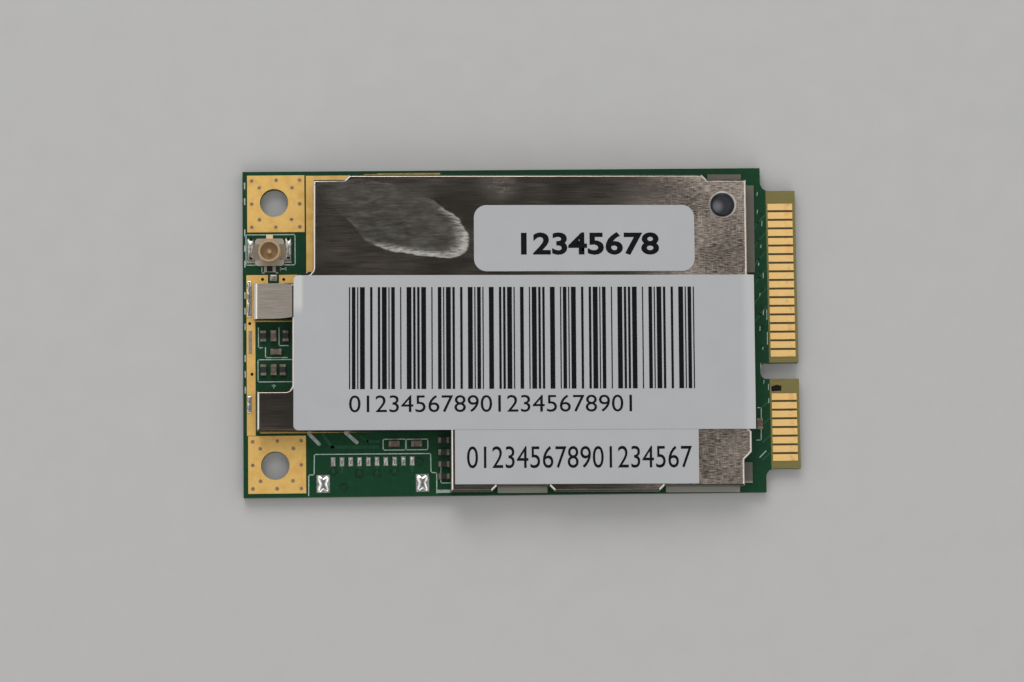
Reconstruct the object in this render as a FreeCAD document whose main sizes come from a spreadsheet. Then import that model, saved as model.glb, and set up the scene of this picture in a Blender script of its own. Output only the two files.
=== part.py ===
import FreeCAD, Part
import math
import os
import Sketcher
from types import SimpleNamespace

os.makedirs("parts", exist_ok=True)
doc = FreeCAD.newDocument("tuner_card")

# Driving sizes, in millimetres and degrees. Places along X are measured from the board's
# back edge, the one with the two screw holes, and places along Y from its lower long edge.
SIZES = {
    # circuit board
    "board_length": 50.95,
    "board_width": 30.0,
    "board_thickness": 1.0,
    "copper_thickness": 0.04,
    "tab_depth": 3.2,
    "tab_inset": 2.15,
    "tab_radius": 0.8,
    "key_offset": 3.85,
    "key_width": 1.5,
    "key_depth": 3.55,
    "key_radius": 0.6,
    "hole_inset": 2.9,
    "hole_margin": 2.9,
    "hole_radius": 1.3,
    # gold lands round the screw holes
    "land_start": 0.43,
    "land_end": 5.69,
    "land_margin": 0.35,
    "land_height": 5.27,
    # edge contacts
    "finger_pitch": 0.8,
    "finger_width": 0.6,
    "finger_length": 2.29,
    "finger_setback": 0.26,
    "finger_long_count": 18,
    "finger_short_count": 8,
    "finger_start": 3.15,
    "finger_gap_count": 5,
    # shield cover, folded from one sheet
    "shield_height": 2.2,
    "shield_sheet": 0.2,
    "shield_skew": 0.4,
    "shield_bend": 0.22,
    "cover_lift": 0.1,
    "main_left": 6.455,
    "top_inner": 28.75,
    "top_jog": 0.47,
    "top_jog_left": 9.3,
    "top_jog_right": 42.05,
    "right_inner": 46.12,
    "right_jog": 0.21,
    "corner_jog": 0.69,
    "corner_jog_place": 3.7,
    "bottom_inner": 0.65,
    "bottom_jog": 0.45,
    "bottom_jog_one": 22.65,
    "bottom_jog_two": 27.9,
    "bottom_jog_three": 37.9,
    "step_left": 18.95,
    "middle_low": 5.76,
    "arm_left": 1.4,
    "bay_low": 9.38,
    "bay_left": 4.56,
    "bay_high": 16.0,
    "bent_arm_left": 1.02,
    "bent_arm_high": 19.24,
    "shoulder_left": 5.2,
    "shoulder_high": 20.05,
    "fold_drop": 0.45,
    "arm_bend": 0.45,
    "throat_radius": 0.6,
    "dimple_from_right": 2.18,
    "dimple_from_top": 2.33,
    "dimple_radius": 1.15,
    "dimple_depth": 0.45,
    "dimple_rim": 0.12,
    "dimple_bowl": 0.3,
    # soldered frame inside the cover
    "frame_fit": 0.05,
    "frame_sheet": 0.2,
    "frame_lip": 0.55,
    "frame_arm_drop": 0.5,
    "foot_sheet": 0.2,
    "foot_reach_top": 0.78,
    "foot_reach_side": 0.92,
    "foot_reach_bottom": 0.49,
    "foot_clearance": 0.08,
    "foot_end_gap": 0.25,
    "side_foot_low": 20.4,
    "corner_foot_low": 1.0,
    # gold ground strips on the board
    "ring_inset": 0.1,
    "ring_inward": 0.75,
    "strip_left": 5.83,
    "strip_high": 29.6,
    "strip_low": 20.68,
    "strip_end": 18.2,
    "edge_strip_left": 0.33,
    "edge_strip_right": 1.13,
    "edge_strip_low": 5.66,
    "edge_strip_high": 20.42,
    "antenna_strip_low": 19.3,
    "antenna_strip_one": 2.31,
    "antenna_strip_two": 3.32,
    "antenna_strip_end": 5.0,
    "solder_height": 0.12,
    "solder_width": 0.42,
    "solder_round": 0.1,
    "solder_left": 0.37,
    "solder_one_low": 16.55,
    "solder_one_high": 19.9,
    "solder_two_low": 7.75,
    "solder_two_high": 9.3,
    # paper labels on the cover
    "label_thickness": 0.09,
    "label_gap": 0.02,
    "wide_label_left": 4.7,
    "wide_label_right": 46.72,
    "wide_label_low": 5.79,
    "wide_label_high": 19.93,
    "wide_label_curl_drop": 0.12,
    "wide_label_radius": 0.45,
    "round_label_left": 21.13,
    "round_label_right": 41.31,
    "round_label_low": 20.28,
    "round_label_high": 26.37,
    "round_label_radius": 1.15,
    "narrow_label_left": 19.32,
    "narrow_label_right": 41.47,
    "narrow_label_low": 0.84,
    # antenna socket
    "coax_place": 2.47,
    "coax_height": 22.5,
    "coax_base_width": 2.64,
    "coax_base_depth": 2.52,
    "coax_base_height": 0.22,
    "coax_boss_height": 0.42,
    "coax_ring_outer": 1.0,
    "coax_ring_inner": 0.82,
    "coax_ring_height": 1.2,
    "coax_floor": 0.1,
    "coax_leg_width": 1.5,
    "coax_leg_height": 0.22,
    "coax_leg_reach": 1.95,
    "coax_pin_radius": 0.22,
    "coax_pin_height": 1.0,
    "coax_pin_tip": 0.12,
    "coax_tail_width": 0.5,
    "coax_tail_reach": 1.75,
    "coax_land_left": 0.4,
    "coax_land_right": 4.46,
    "coax_land_width": 0.72,
    "coax_land_height": 1.95,
    "coax_tab_width": 0.62,
    "coax_tab_reach": 1.64,
    "coax_signal_width": 1.05,
    "coax_signal_low": 20.68,
    "coax_signal_high": 21.6,
    "coax_feed_left": 2.49,
    "coax_feed_right": 3.13,
    "coax_feed_low": 19.87,
    "coax_feed_high": 20.44,
    # bare connector footprint on the lower edge
    "footprint_count": 10,
    "footprint_pitch": 0.8,
    "footprint_start": 8.16,
    "footprint_low": 2.78,
    "footprint_high": 3.6,
    "footprint_width": 0.42,
    "anchor_low": 0.37,
    "anchor_high": 2.0,
    "anchor_width": 1.2,
    "anchor_one": 7.24,
    "anchor_two": 16.28,
    # small chip parts
    "chip_long": 1.0,
    "chip_wide": 0.5,
    "chip_end": 0.24,
    "chip_end_proud": 0.015,
    "capacitor_height": 0.5,
    "resistor_height": 0.35,
    "bay_one": 1.86,
    "bay_two": 2.8,
    "bay_three": 3.62,
    "bay_four": 3.9,
    "bay_top_row": 14.76,
    "bay_middle_row": 13.3,
    "bay_middle_place": 3.02,
    "bay_low_row": 11.65,
    "edge_pair_one": 13.72,
    "edge_pair_two": 15.78,
    "edge_pair_row": 4.76,
    "step_column": 18.25,
    "step_column_start": 1.75,
    "step_column_pitch": 1.1,
    "step_column_count": 4,
    "side_chip_place": 47.22,
    "side_chip_row": 6.25,
    # parts under the cover
    "tuner_place": 12.0,
    "tuner_height": 24.2,
    "tuner_side": 6.0,
    "tuner_thickness": 0.85,
    "demodulator_place": 23.5,
    "demodulator_height": 20.0,
    "demodulator_side": 8.0,
    "demodulator_thickness": 0.9,
    "tuner_land_count": 10,
    "demodulator_land_count": 14,
    "land_thickness": 0.08,
    "land_pitch": 0.5,
    "land_width": 0.25,
    "land_length": 0.4,
    "land_proud": 0.05,
    "package_chamfer": 0.1,
    "bridge_place": 36.5,
    "bridge_height": 14.0,
    "bridge_side": 10.0,
    "bridge_thickness": 1.4,
    "bridge_stand": 0.1,
    "lead_pitch": 0.5,
    "lead_count": 16,
    "lead_width": 0.22,
    "lead_sheet": 0.13,
    "lead_reach": 1.0,
    "lead_shoulder": 0.3,
    "lead_slant": 0.2,
    "lead_exit": 0.65,
    "crystal_long": 3.2,
    "crystal_wide": 2.5,
    "crystal_thickness": 0.75,
    "crystal_radius": 0.35,
    "tuner_crystal_place": 12.0,
    "tuner_crystal_height": 17.6,
    "bridge_crystal_place": 27.2,
    "bridge_crystal_height": 9.5,
    "memory_place": 35.0,
    "memory_clearance": 1.65,
    "memory_long": 4.9,
    "memory_wide": 3.9,
    "memory_thickness": 1.35,
    "memory_lead_pitch": 1.27,
    "memory_lead_count": 4,
    "memory_lead_width": 0.4,
    "memory_lead_reach": 1.0,
    "memory_lead_sheet": 0.2,
    "memory_lead_exit": 0.6,
    "pin_mark_inset": 0.8,
    "pin_mark_radius": 0.3,
    "pin_mark_depth": 0.05,
    "regulator_place": 23.0,
    "regulator_height": 4.2,
    "regulator_side": 3.0,
    "regulator_thickness": 0.9,
    "regulator_pitch": 5.2,
    "regulator_count": 2,
    "inductor_place": 34.4,
    "inductor_height": 4.4,
    "inductor_side": 3.2,
    "inductor_thickness": 1.5,
    "inductor_corner": 0.7,
    "coil_start": 2.5,
    "coil_pitch": 1.4,
    "coil_count": 2,
    "coil_row": 17.6,
    "coil_long": 1.6,
    "coil_wide": 0.8,
    "coil_height": 0.8,
    "inner_row_gap": 1.15,
    "inner_row_pitch": 1.3,
    "inner_row_count": 4,
}

sheet = doc.addObject("Spreadsheet::Sheet", "Sizes")
for row, (alias, value) in enumerate(SIZES.items(), start=1):
    sheet.set("A%d" % row, alias)
    sheet.set("B%d" % row, str(value))
    sheet.setAlias("B%d" % row, alias)
doc.recompute()


class Size:
    """A number together with the formula that ties it to the sheet."""

    def __init__(self, number, text):
        self.number = number
        self.text = text

    def __add__(self, other):
        other = as_size(other)
        return Size(self.number + other.number, "(%s + %s)" % (self.text, other.text))

    def __sub__(self, other):
        other = as_size(other)
        return Size(self.number - other.number, "(%s - %s)" % (self.text, other.text))

    def __mul__(self, other):
        other = as_size(other)
        return Size(self.number * other.number, "(%s * %s)" % (self.text, other.text))

    def __truediv__(self, other):
        other = as_size(other)
        return Size(self.number / other.number, "(%s / %s)" % (self.text, other.text))

    def __radd__(self, other):
        return as_size(other) + self

    def __rsub__(self, other):
        return as_size(other) - self

    def __rmul__(self, other):
        return as_size(other) * self

    def __neg__(self):
        return as_size(0) - self


def as_size(value):
    return value if isinstance(value, Size) else Size(float(value), repr(float(value)))


S = SimpleNamespace(**{alias: Size(float(value), "Sizes." + alias) for alias, value in SIZES.items()})


def bind(thing, path, value):
    thing.setExpression(path, as_size(value).text)


def along(place):
    """Place along X, from the board's back edge."""
    return place - S.board_length / 2


def across(place):
    """Place along Y, from the board's lower long edge."""
    return place - S.board_width / 2


BOARD_LOW = S.copper_thickness
BOARD_TOP = S.copper_thickness + S.board_thickness


def new_body(label):
    body = doc.addObject("PartDesign::Body", label)
    body.Label = label
    body.AllowCompound = True
    return body


def sketch_in(body, level=0, role="XY_Plane"):
    """Empty sketch on one of the body's own planes, moved along its normal to a level."""
    sketch = body.newObject("Sketcher::SketchObject", body.Name + "_sketch")
    plane = next(item for item in body.Origin.OriginFeatures if item.Role == role)
    sketch.AttachmentSupport = [(plane, "")]
    sketch.MapMode = "FlatFace"
    bind(sketch, "AttachmentOffset.Base.z", level)
    return sketch


def hold(sketch, item, corner, place):
    """Ties one point of the sketch to its distances from the sketch's origin."""
    for kind, value in zip(("DistanceX", "DistanceY"), place):
        value = as_size(value)
        number = sketch.addConstraint(Sketcher.Constraint(kind, -1, 1, item, corner, value.number))
        sketch.setExpression("Constraints[%d]" % number, value.text)


def draw_outline(sketch, corners):
    """Closed outline of straight lines through the corners."""
    points = [FreeCAD.Vector(as_size(x).number, as_size(y).number, 0) for x, y in corners]
    first = sketch.GeometryCount
    count = len(points)
    for number in range(count):
        sketch.addGeometry(Part.LineSegment(points[number], points[(number + 1) % count]), False)
    for number in range(count):
        following = first + (number + 1) % count
        sketch.addConstraint(Sketcher.Constraint("Coincident", first + number, 2, following, 1))
    for number, place in enumerate(corners):
        hold(sketch, first + number, 1, place)


def draw_circle(sketch, place, radius):
    centre = FreeCAD.Vector(as_size(place[0]).number, as_size(place[1]).number, 0)
    item = sketch.addGeometry(Part.Circle(centre, FreeCAD.Vector(0, 0, 1), radius.number), False)
    hold(sketch, item, 3, place)
    number = sketch.addConstraint(Sketcher.Constraint("Radius", item, radius.number))
    sketch.setExpression("Constraints[%d]" % number, radius.text)


def box_corners(x_low, x_high, y_low, y_high):
    return [(x_low, y_low), (x_high, y_low), (x_high, y_high), (x_low, y_high)]


def add_pad(body, sketch, length):
    pad = body.newObject("PartDesign::Pad", body.Name + "_pad")
    pad.Profile = sketch
    bind(pad, "Length", length)
    doc.recompute()
    return pad


def add_pocket(body, sketch, length, along_normal=False):
    """Cut against the sketch's normal, or along it; it has to take material away."""
    before = body.Shape.Volume
    pocket = body.newObject("PartDesign::Pocket", body.Name + "_pocket")
    pocket.Profile = sketch
    pocket.Reversed = along_normal
    bind(pocket, "Length", length)
    doc.recompute()
    if not body.Shape.Volume < before:
        raise RuntimeError("a pocket cuts nothing in " + body.Label)
    return pocket


def upright_edges(shape, spots):
    """Names of the vertical edges that stand at the given places."""
    names = []
    for number, edge in enumerate(shape.Edges, start=1):
        ends = [vertex.Point for vertex in edge.Vertexes]
        if len(ends) != 2 or abs(ends[0].z - ends[1].z) < 1e-6:
            continue
        for x, y in spots:
            off = [max(abs(point.x - as_size(x).number), abs(point.y - as_size(y).number)) for point in ends]
            if max(off) < 1e-4:
                names.append("Edge%d" % number)
    return names


def add_fillet(body, edges, radius):
    if not edges:
        raise RuntimeError("no edge to round in " + body.Label)
    base = body.Tip
    fillet = body.newObject("PartDesign::Fillet", body.Name + "_fillet")
    fillet.Base = (base, edges)
    bind(fillet, "Radius", radius)
    doc.recompute()
    if "Invalid" in fillet.State:
        raise RuntimeError("a fillet fails in " + body.Label + " " + str(edges))
    return fillet


def add_chamfer(body, edges, size):
    if not edges:
        raise RuntimeError("no edge to chamfer in " + body.Label)
    base = body.Tip
    chamfer = body.newObject("PartDesign::Chamfer", body.Name + "_chamfer")
    chamfer.Base = (base, edges)
    bind(chamfer, "Size", size)
    doc.recompute()
    return chamfer


def add_row(body, feature, axis_role, length, count):
    """Repeats a feature in a straight row."""
    row = body.newObject("PartDesign::LinearPattern", body.Name + "_row")
    axis = next(item for item in body.Origin.OriginFeatures if item.Role == axis_role)
    row.Originals = [feature]
    row.Direction = (axis, [""])
    bind(row, "Length", length)
    bind(row, "Occurrences", count)
    body.Tip = row
    doc.recompute()
    return row


# Circuit board: full size card with a keyed contact tab
def make_board():
    body = new_body("circuit_board")
    shoulder = along(S.board_length - S.tab_depth)
    key_end = along(S.board_length - S.key_depth)
    tip = along(S.board_length)
    tab_low = across(S.tab_inset)
    tab_high = across(S.board_width - S.tab_inset)
    key_low = -S.key_offset - S.key_width / 2
    key_high = -S.key_offset + S.key_width / 2
    low = across(as_size(0))
    high = across(S.board_width)
    back = along(as_size(0))
    sketch = sketch_in(body, BOARD_LOW)
    draw_outline(sketch, [
        (back, low), (shoulder, low), (shoulder, tab_low), (tip, tab_low),
        (tip, key_low), (key_end, key_low), (key_end, key_high), (tip, key_high),
        (tip, tab_high), (shoulder, tab_high), (shoulder, high), (back, high)])
    hole_x = along(S.hole_inset)
    for side in (-1, 1):
        draw_circle(sketch, (hole_x, side * (S.board_width / 2 - S.hole_margin)), S.hole_radius)
    add_pad(body, sketch, S.board_thickness)
    throats = [(shoulder, tab_low), (shoulder, tab_high)]
    add_fillet(body, upright_edges(body.Shape, throats), S.tab_radius)
    key_ends = [(key_end, key_low), (key_end, key_high)]
    add_fillet(body, upright_edges(body.Shape, key_ends), S.key_radius)


def make_fingers(label, level, shift):
    """One face's edge contacts: a long row and a short row, each side of the key."""
    body = new_body(label)
    x_high = along(S.board_length - S.finger_setback)
    x_low = x_high - S.finger_length
    first = across(S.finger_start) + shift
    second = first + (S.finger_short_count + S.finger_gap_count - 1) * S.finger_pitch
    for start, count in ((first, S.finger_short_count), (second, S.finger_long_count)):
        sketch = sketch_in(body, level)
        half = S.finger_width / 2
        draw_outline(sketch, box_corners(x_low, x_high, start - half, start + half))
        pad = add_pad(body, sketch, S.copper_thickness)
        add_row(body, pad, "Y_Axis", (count - 1) * S.finger_pitch, count)


def turned(body):
    """The shield and what is on it sit a little askew on the board, as soldered."""
    bind(body, "Placement.Rotation.Axis.z", 1)
    bind(body, "Placement.Rotation.Angle", -S.shield_skew)


def make_slabs(label, rectangles, level, height):
    """Separate flat blocks of one height, each given as x low, x high, y low, y high."""
    body = new_body(label)
    for limits in rectangles:
        add_blocks(body, [limits], level, height)
    return body


def add_blocks(body, rectangles, level, height, axis="X_Axis", pitch=None, count=None):
    """Flat blocks in one sketch, repeated in a row along an axis when there is a count."""
    sketch = sketch_in(body, level)
    for limits in rectangles:
        draw_outline(sketch, box_corners(*limits))
    pad = add_pad(body, sketch, height)
    if count is not None:
        add_row(body, pad, axis, (count - 1) * pitch, count)


# Gold lands for the screws, joined to ground
def make_screw_lands(label, level):
    body = new_body(label)
    sketch = sketch_in(body, level)
    left = along(S.land_start)
    right = along(S.land_end)
    hole_x = along(S.hole_inset)
    high = S.board_width / 2 - S.land_margin
    for side in (-1, 1):
        near = side * (high - S.land_height)
        far = side * high
        corners = box_corners(left, right, near, far)
        draw_outline(sketch, corners if side > 0 else corners[::-1])
        draw_circle(sketch, (hole_x, side * (S.board_width / 2 - S.hole_margin)), S.hole_radius)
    add_pad(body, sketch, S.copper_thickness)


# Shield outline
DIAGONAL = math.sqrt(2) - 1
COPPER_TOP = BOARD_TOP + S.copper_thickness
COVER_TOP = BOARD_TOP + S.shield_height
TOP_OUTER = S.top_inner + S.top_jog
BOTTOM_OUTER = S.bottom_inner - S.bottom_jog
RIGHT_OUTER = S.right_inner + S.right_jog
RIGHT_LOW = RIGHT_OUTER - S.corner_jog
FOLD_SLOPE = S.fold_drop / (S.bay_left - S.bent_arm_left)


def moved(corners, inward):
    """Row places of corners that each carry their own inward direction."""
    return [(along(x) + way_x * inward, across(y) + way_y * inward) for x, y, way_x, way_y in corners]


def right_and_lower_walls():
    """Cover corners from the upper right one round to the step beside the bare footprint."""
    return [
        (S.right_inner, S.top_inner, -1, -1),
        (S.right_inner, S.wide_label_low, -1, -DIAGONAL),
        (RIGHT_OUTER, S.wide_label_low - S.right_jog, -1, -DIAGONAL),
        (RIGHT_OUTER, S.corner_jog_place, -1, DIAGONAL),
        (RIGHT_LOW, S.corner_jog_place - S.corner_jog, -1, DIAGONAL),
        (RIGHT_LOW, S.bottom_inner, -1, 1),
        (S.bottom_jog_three + S.bottom_jog, S.bottom_inner, -DIAGONAL, 1),
        (S.bottom_jog_three, BOTTOM_OUTER, -DIAGONAL, 1),
        (S.bottom_jog_two + S.bottom_jog, BOTTOM_OUTER, DIAGONAL, 1),
        (S.bottom_jog_two, S.bottom_inner, DIAGONAL, 1),
        (S.bottom_jog_one + S.bottom_jog, S.bottom_inner, -DIAGONAL, 1),
        (S.bottom_jog_one, BOTTOM_OUTER, -DIAGONAL, 1),
        (S.step_left, BOTTOM_OUTER, 1, 1),
        (S.step_left, S.middle_low, 1, 1),
        (S.arm_left, S.middle_low, 1, 1),
        (S.arm_left, S.bay_low, 1, -1),
        (S.bay_left, S.bay_low, 1, -1),
    ]


def top_wall():
    return [
        (S.main_left, S.top_inner, 1, -1),
        (S.top_jog_left, S.top_inner, DIAGONAL, -1),
        (S.top_jog_left + S.top_jog, TOP_OUTER, DIAGONAL, -1),
        (S.top_jog_right, TOP_OUTER, -DIAGONAL, -1),
        (S.top_jog_right + S.top_jog, S.top_inner, -DIAGONAL, -1),
    ]


def cover_corners():
    return top_wall() + right_and_lower_walls() + [
        (S.bay_left, S.bay_high, 1, 1),
        (S.bent_arm_left, S.bay_high, 1, 1),
        (S.bent_arm_left, S.bent_arm_high, 1, -1),
        (S.shoulder_left, S.bent_arm_high, 1, -1),
        (S.shoulder_left, S.shoulder_high, 1, -1),
        (S.main_left, S.shoulder_high, 1, -1),
    ]


def cavity_corners():
    """Inside of the cover's flat part: all but the bent arm."""
    return top_wall() + right_and_lower_walls() + [
        (S.bay_left, S.bay_high, 1, 1),
        (S.bay_left, S.bent_arm_high, 1, -1),
        (S.shoulder_left, S.bent_arm_high, 1, -1),
        (S.shoulder_left, S.shoulder_high, 1, -1),
        (S.main_left, S.shoulder_high, 1, -1),
    ]


def frame_corners():
    return [
        (S.main_left, S.top_inner, 1, -1),
        (S.right_inner, S.top_inner, -1, -1),
        (S.right_inner, S.corner_jog_place, -1, 1),
        (RIGHT_LOW, S.corner_jog_place, -1, 1),
        (RIGHT_LOW, S.bottom_inner, -1, 1),
        (S.step_left, S.bottom_inner, 1, 1),
        (S.step_left, S.middle_low, 1, 1),
        (S.arm_left, S.middle_low, 1, 1),
        (S.arm_left, S.bay_low, 1, -1),
        (S.bay_left, S.bay_low, 1, -1),
        (S.bay_left, S.bay_high, 1, 1),
        (S.bent_arm_left, S.bay_high, 1, 1),
        (S.bent_arm_left, S.bent_arm_high, 1, -1),
        (S.shoulder_left, S.bent_arm_high, 1, -1),
        (S.shoulder_left, S.shoulder_high, 1, -1),
        (S.main_left, S.shoulder_high, 1, -1),
    ]


def foot_spans():
    """Feet in the cover's set-back stretches: limits from the wall out to the foot's end."""
    gap = S.foot_end_gap
    wall = S.shield_sheet + S.frame_fit
    return [
        (along(S.top_jog_right + S.top_jog) + gap, along(S.right_inner) - gap,
         across(S.top_inner) - wall, across(S.top_inner) + S.foot_reach_top),
        (along(S.right_inner) - wall, along(S.right_inner) + S.foot_reach_side,
         across(S.side_foot_low), across(S.top_inner) - gap),
        (along(RIGHT_LOW) - wall, along(RIGHT_LOW) + S.foot_reach_side,
         across(S.corner_foot_low), across(S.corner_jog_place - S.corner_jog) - gap / 2),
        (along(S.bottom_jog_three + S.bottom_jog) + gap, along(RIGHT_LOW) - gap,
         across(S.bottom_inner) - S.foot_reach_bottom, across(S.bottom_inner) + wall),
        (along(S.bottom_jog_one + S.bottom_jog) + gap / 2, along(S.bottom_jog_two) - gap / 2,
         across(S.bottom_inner) - S.foot_reach_bottom, across(S.bottom_inner) + wall),
    ]


def cut_under_arm(body, margin, base, roof):
    """Cavity under the bent arm, up to a roof that falls towards the board's back edge."""
    sketch = sketch_in(body, margin - across(S.bent_arm_high), "XZ_Plane")
    fold = along(S.bay_left)
    tip = along(S.bent_arm_left) + margin
    draw_outline(sketch, [
        (tip, base), (fold + margin, base), (fold + margin, roof),
        (fold, roof), (tip, roof - (fold - tip) * FOLD_SLOPE)])
    add_pocket(body, sketch, S.bent_arm_high - S.bay_high - 2 * margin, along_normal=True)


def bend_edges(shape):
    """Names of the edges where the cover's top folds into a wall."""
    names = []
    for number, edge in enumerate(shape.Edges, start=1):
        faces = shape.ancestorsOfType(edge, Part.Face)
        ups = [face.normalAt(*face.Surface.parameter(edge.CenterOfMass)).z for face in faces]
        if max(ups) > 0.9 and min(abs(up) for up in ups) < 0.1:
            names.append("Edge%d" % number)
    return names


def circle_edges(shape, radius, level):
    """Names of the round edges of one radius at one level."""
    names = []
    for number, edge in enumerate(shape.Edges, start=1):
        round_edge = isinstance(edge.Curve, Part.Circle) and abs(edge.Curve.Radius - radius.number) < 1e-4
        if round_edge and abs(edge.CenterOfMass.z - level.number) < 1e-4:
            names.append("Edge%d" % number)
    return names


def press_dimple(body):
    """Round cup drawn down into the cover near its upper right corner."""
    place = (along(S.right_inner - S.dimple_from_right), across(S.top_inner - S.dimple_from_top))
    floor = COVER_TOP - S.dimple_depth
    under = sketch_in(body, floor - S.shield_sheet)
    draw_circle(under, place, S.dimple_radius + S.shield_sheet)
    add_pad(body, under, S.dimple_depth)
    cup = sketch_in(body, COVER_TOP)
    draw_circle(cup, place, S.dimple_radius)
    add_pocket(body, cup, S.dimple_depth)
    add_chamfer(body, circle_edges(body.Shape, S.dimple_radius, COVER_TOP), S.dimple_rim)
    add_chamfer(body, circle_edges(body.Shape, S.dimple_radius, floor), S.dimple_bowl)


def arm_tip_edges(shape):
    """Names of the top edges at the bent arm's outer end."""
    end = along(S.bent_arm_left).number
    names = []
    for number, edge in enumerate(shape.Edges, start=1):
        if all(abs(vertex.X - end) < 1e-4 and vertex.Z > COPPER_TOP.number + 1 for vertex in edge.Vertexes):
            names.append("Edge%d" % number)
    return names


def make_cover():
    body = new_body("shield_cover")
    base = BOARD_TOP + S.cover_lift
    outer = sketch_in(body, base)
    draw_outline(outer, moved(cover_corners(), as_size(0)))
    add_pad(body, outer, S.shield_height - S.cover_lift)
    throats = [(along(S.main_left), across(S.shoulder_high)), (along(S.bay_left), across(S.bay_low))]
    add_fillet(body, upright_edges(body.Shape, throats), S.throat_radius)
    add_fillet(body, bend_edges(body.Shape), S.shield_bend)
    # the arm over the antenna feed is bent down from the fold
    slope = sketch_in(body, -across(S.top_inner), "XZ_Plane")
    fold = along(S.bay_left)
    tip = along(as_size(0))
    draw_outline(slope, [
        (fold, COVER_TOP), (fold, COVER_TOP + S.shield_height),
        (tip, COVER_TOP + S.shield_height), (tip, COVER_TOP - (fold - tip) * FOLD_SLOPE)])
    add_pocket(body, slope, S.top_inner - S.bay_high, along_normal=True)
    add_fillet(body, arm_tip_edges(body.Shape), S.arm_bend)
    sheet_in = S.shield_sheet
    cavity = sketch_in(body, base)
    draw_outline(cavity, moved(cavity_corners(), sheet_in))
    add_pocket(body, cavity, S.shield_height - S.cover_lift - sheet_in, along_normal=True)
    cut_under_arm(body, sheet_in, base, COVER_TOP - sheet_in)
    press_dimple(body)
    # the walls stop above the frame's feet
    clear = S.foot_clearance
    foot_top = COPPER_TOP + S.foot_sheet + clear
    for x_low, x_high, y_low, y_high in foot_spans():
        window = sketch_in(body, base)
        draw_outline(window, box_corners(x_low - clear, x_high + clear, y_low - clear, y_high + clear))
        add_pocket(body, window, foot_top - base, along_normal=True)
    turned(body)


# Frame soldered to the board, which the cover snaps over
def make_frame():
    body = new_body("shield_frame")
    fit = S.shield_sheet + S.frame_fit
    height = COVER_TOP - S.shield_sheet - COPPER_TOP
    outer = sketch_in(body, COPPER_TOP)
    draw_outline(outer, moved(frame_corners(), fit))
    add_pad(body, outer, height)
    inside = sketch_in(body, COPPER_TOP)
    draw_outline(inside, moved(frame_corners(), fit + S.frame_sheet))
    add_pocket(body, inside, height - S.frame_sheet, along_normal=True)
    window = sketch_in(body, COPPER_TOP + height)
    draw_outline(window, moved(frame_corners(), fit + S.frame_lip))
    add_pocket(body, window, S.frame_sheet)
    arm = sketch_in(body, COPPER_TOP + height)
    draw_outline(arm, box_corners(
        along(S.bent_arm_left), along(S.bay_left), across(S.bay_high), across(S.bent_arm_high)))
    add_pocket(body, arm, S.frame_arm_drop)
    for span in foot_spans():
        add_blocks(body, [span], COPPER_TOP, S.foot_sheet)
    turned(body)


# Bare gold on the board: the frame's seat and the strips that show beside the cover
def make_ground_strips():
    body = new_body("ground_strips")
    seat = sketch_in(body, BOARD_TOP)
    draw_outline(seat, moved(frame_corners(), S.ring_inset))
    draw_outline(seat, moved(frame_corners(), S.ring_inward)[::-1])
    add_pad(body, seat, S.copper_thickness)
    strips = [
        (along(S.strip_left), along(S.main_left + S.ring_inward), across(S.strip_low), across(S.strip_high)),
        (along(S.strip_left), along(S.strip_end),
         across(S.top_inner - S.ring_inward), across(S.strip_high)),
        (along(S.edge_strip_left), along(S.edge_strip_right),
         across(S.edge_strip_low), across(S.edge_strip_high)),
        (along(S.edge_strip_left), along(S.antenna_strip_one),
         across(S.antenna_strip_low), across(S.edge_strip_high)),
        (along(S.antenna_strip_two), along(S.antenna_strip_end),
         across(S.antenna_strip_low), across(S.edge_strip_high)),
    ]
    for strip in strips:
        sketch = sketch_in(body, BOARD_TOP)
        draw_outline(sketch, box_corners(*strip))
        add_pad(body, sketch, S.copper_thickness)


def make_ground_solder():
    x_low = along(S.solder_left)
    x_high = x_low + S.solder_width
    body = make_slabs("ground_solder", [
        (x_low, x_high, across(S.solder_one_low), across(S.solder_one_high)),
        (x_low, x_high, across(S.solder_two_low), across(S.solder_two_high)),
    ], COPPER_TOP, S.solder_height)
    add_fillet(body, bend_edges(body.Shape), S.solder_round)


# Paper labels, face down on the cover
def make_label(label, x_low, x_high, y_low, y_high, radius=None):
    body = new_body(label)
    sketch = sketch_in(body, COVER_TOP)
    corners = box_corners(along(x_low), along(x_high), across(y_low), across(y_high))
    draw_outline(sketch, corners)
    add_pad(body, sketch, S.label_thickness)
    if radius is not None:
        add_fillet(body, upright_edges(body.Shape, corners), radius)
    turned(body)


def make_wide_label():
    """The widest label runs past the cover's right edge, where it droops."""
    body = new_body("wide_label")
    low = across(S.wide_label_low)
    high = across(S.wide_label_high)
    left = along(S.wide_label_left)
    right = along(S.wide_label_right)
    curl = along(RIGHT_OUTER - S.shield_bend / 2)
    flat = sketch_in(body, COVER_TOP)
    draw_outline(flat, box_corners(left, curl, low, high))
    add_pad(body, flat, S.label_thickness)
    droop = sketch_in(body, -high, "XZ_Plane")
    draw_outline(droop, [
        (curl, COVER_TOP), (right, COVER_TOP - S.wide_label_curl_drop),
        (right, COVER_TOP - S.wide_label_curl_drop + S.label_thickness),
        (curl, COVER_TOP + S.label_thickness)])
    add_pad(body, droop, high - low)
    corners = [(left, low), (left, high)]
    add_fillet(body, upright_edges(body.Shape, corners), S.wide_label_radius)
    turned(body)


# Antenna socket: moulded base, turned ring with its ground legs, and centre contact
def centred(body, x, y):
    bind(body, "Placement.Base.x", along(x))
    bind(body, "Placement.Base.y", across(y))


def leg_limits(reach):
    half = S.coax_leg_width / 2
    inner = (S.coax_ring_outer + S.coax_ring_inner) / 2
    return [(-reach, -inner, -half, half), (inner, reach, -half, half)]


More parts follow.
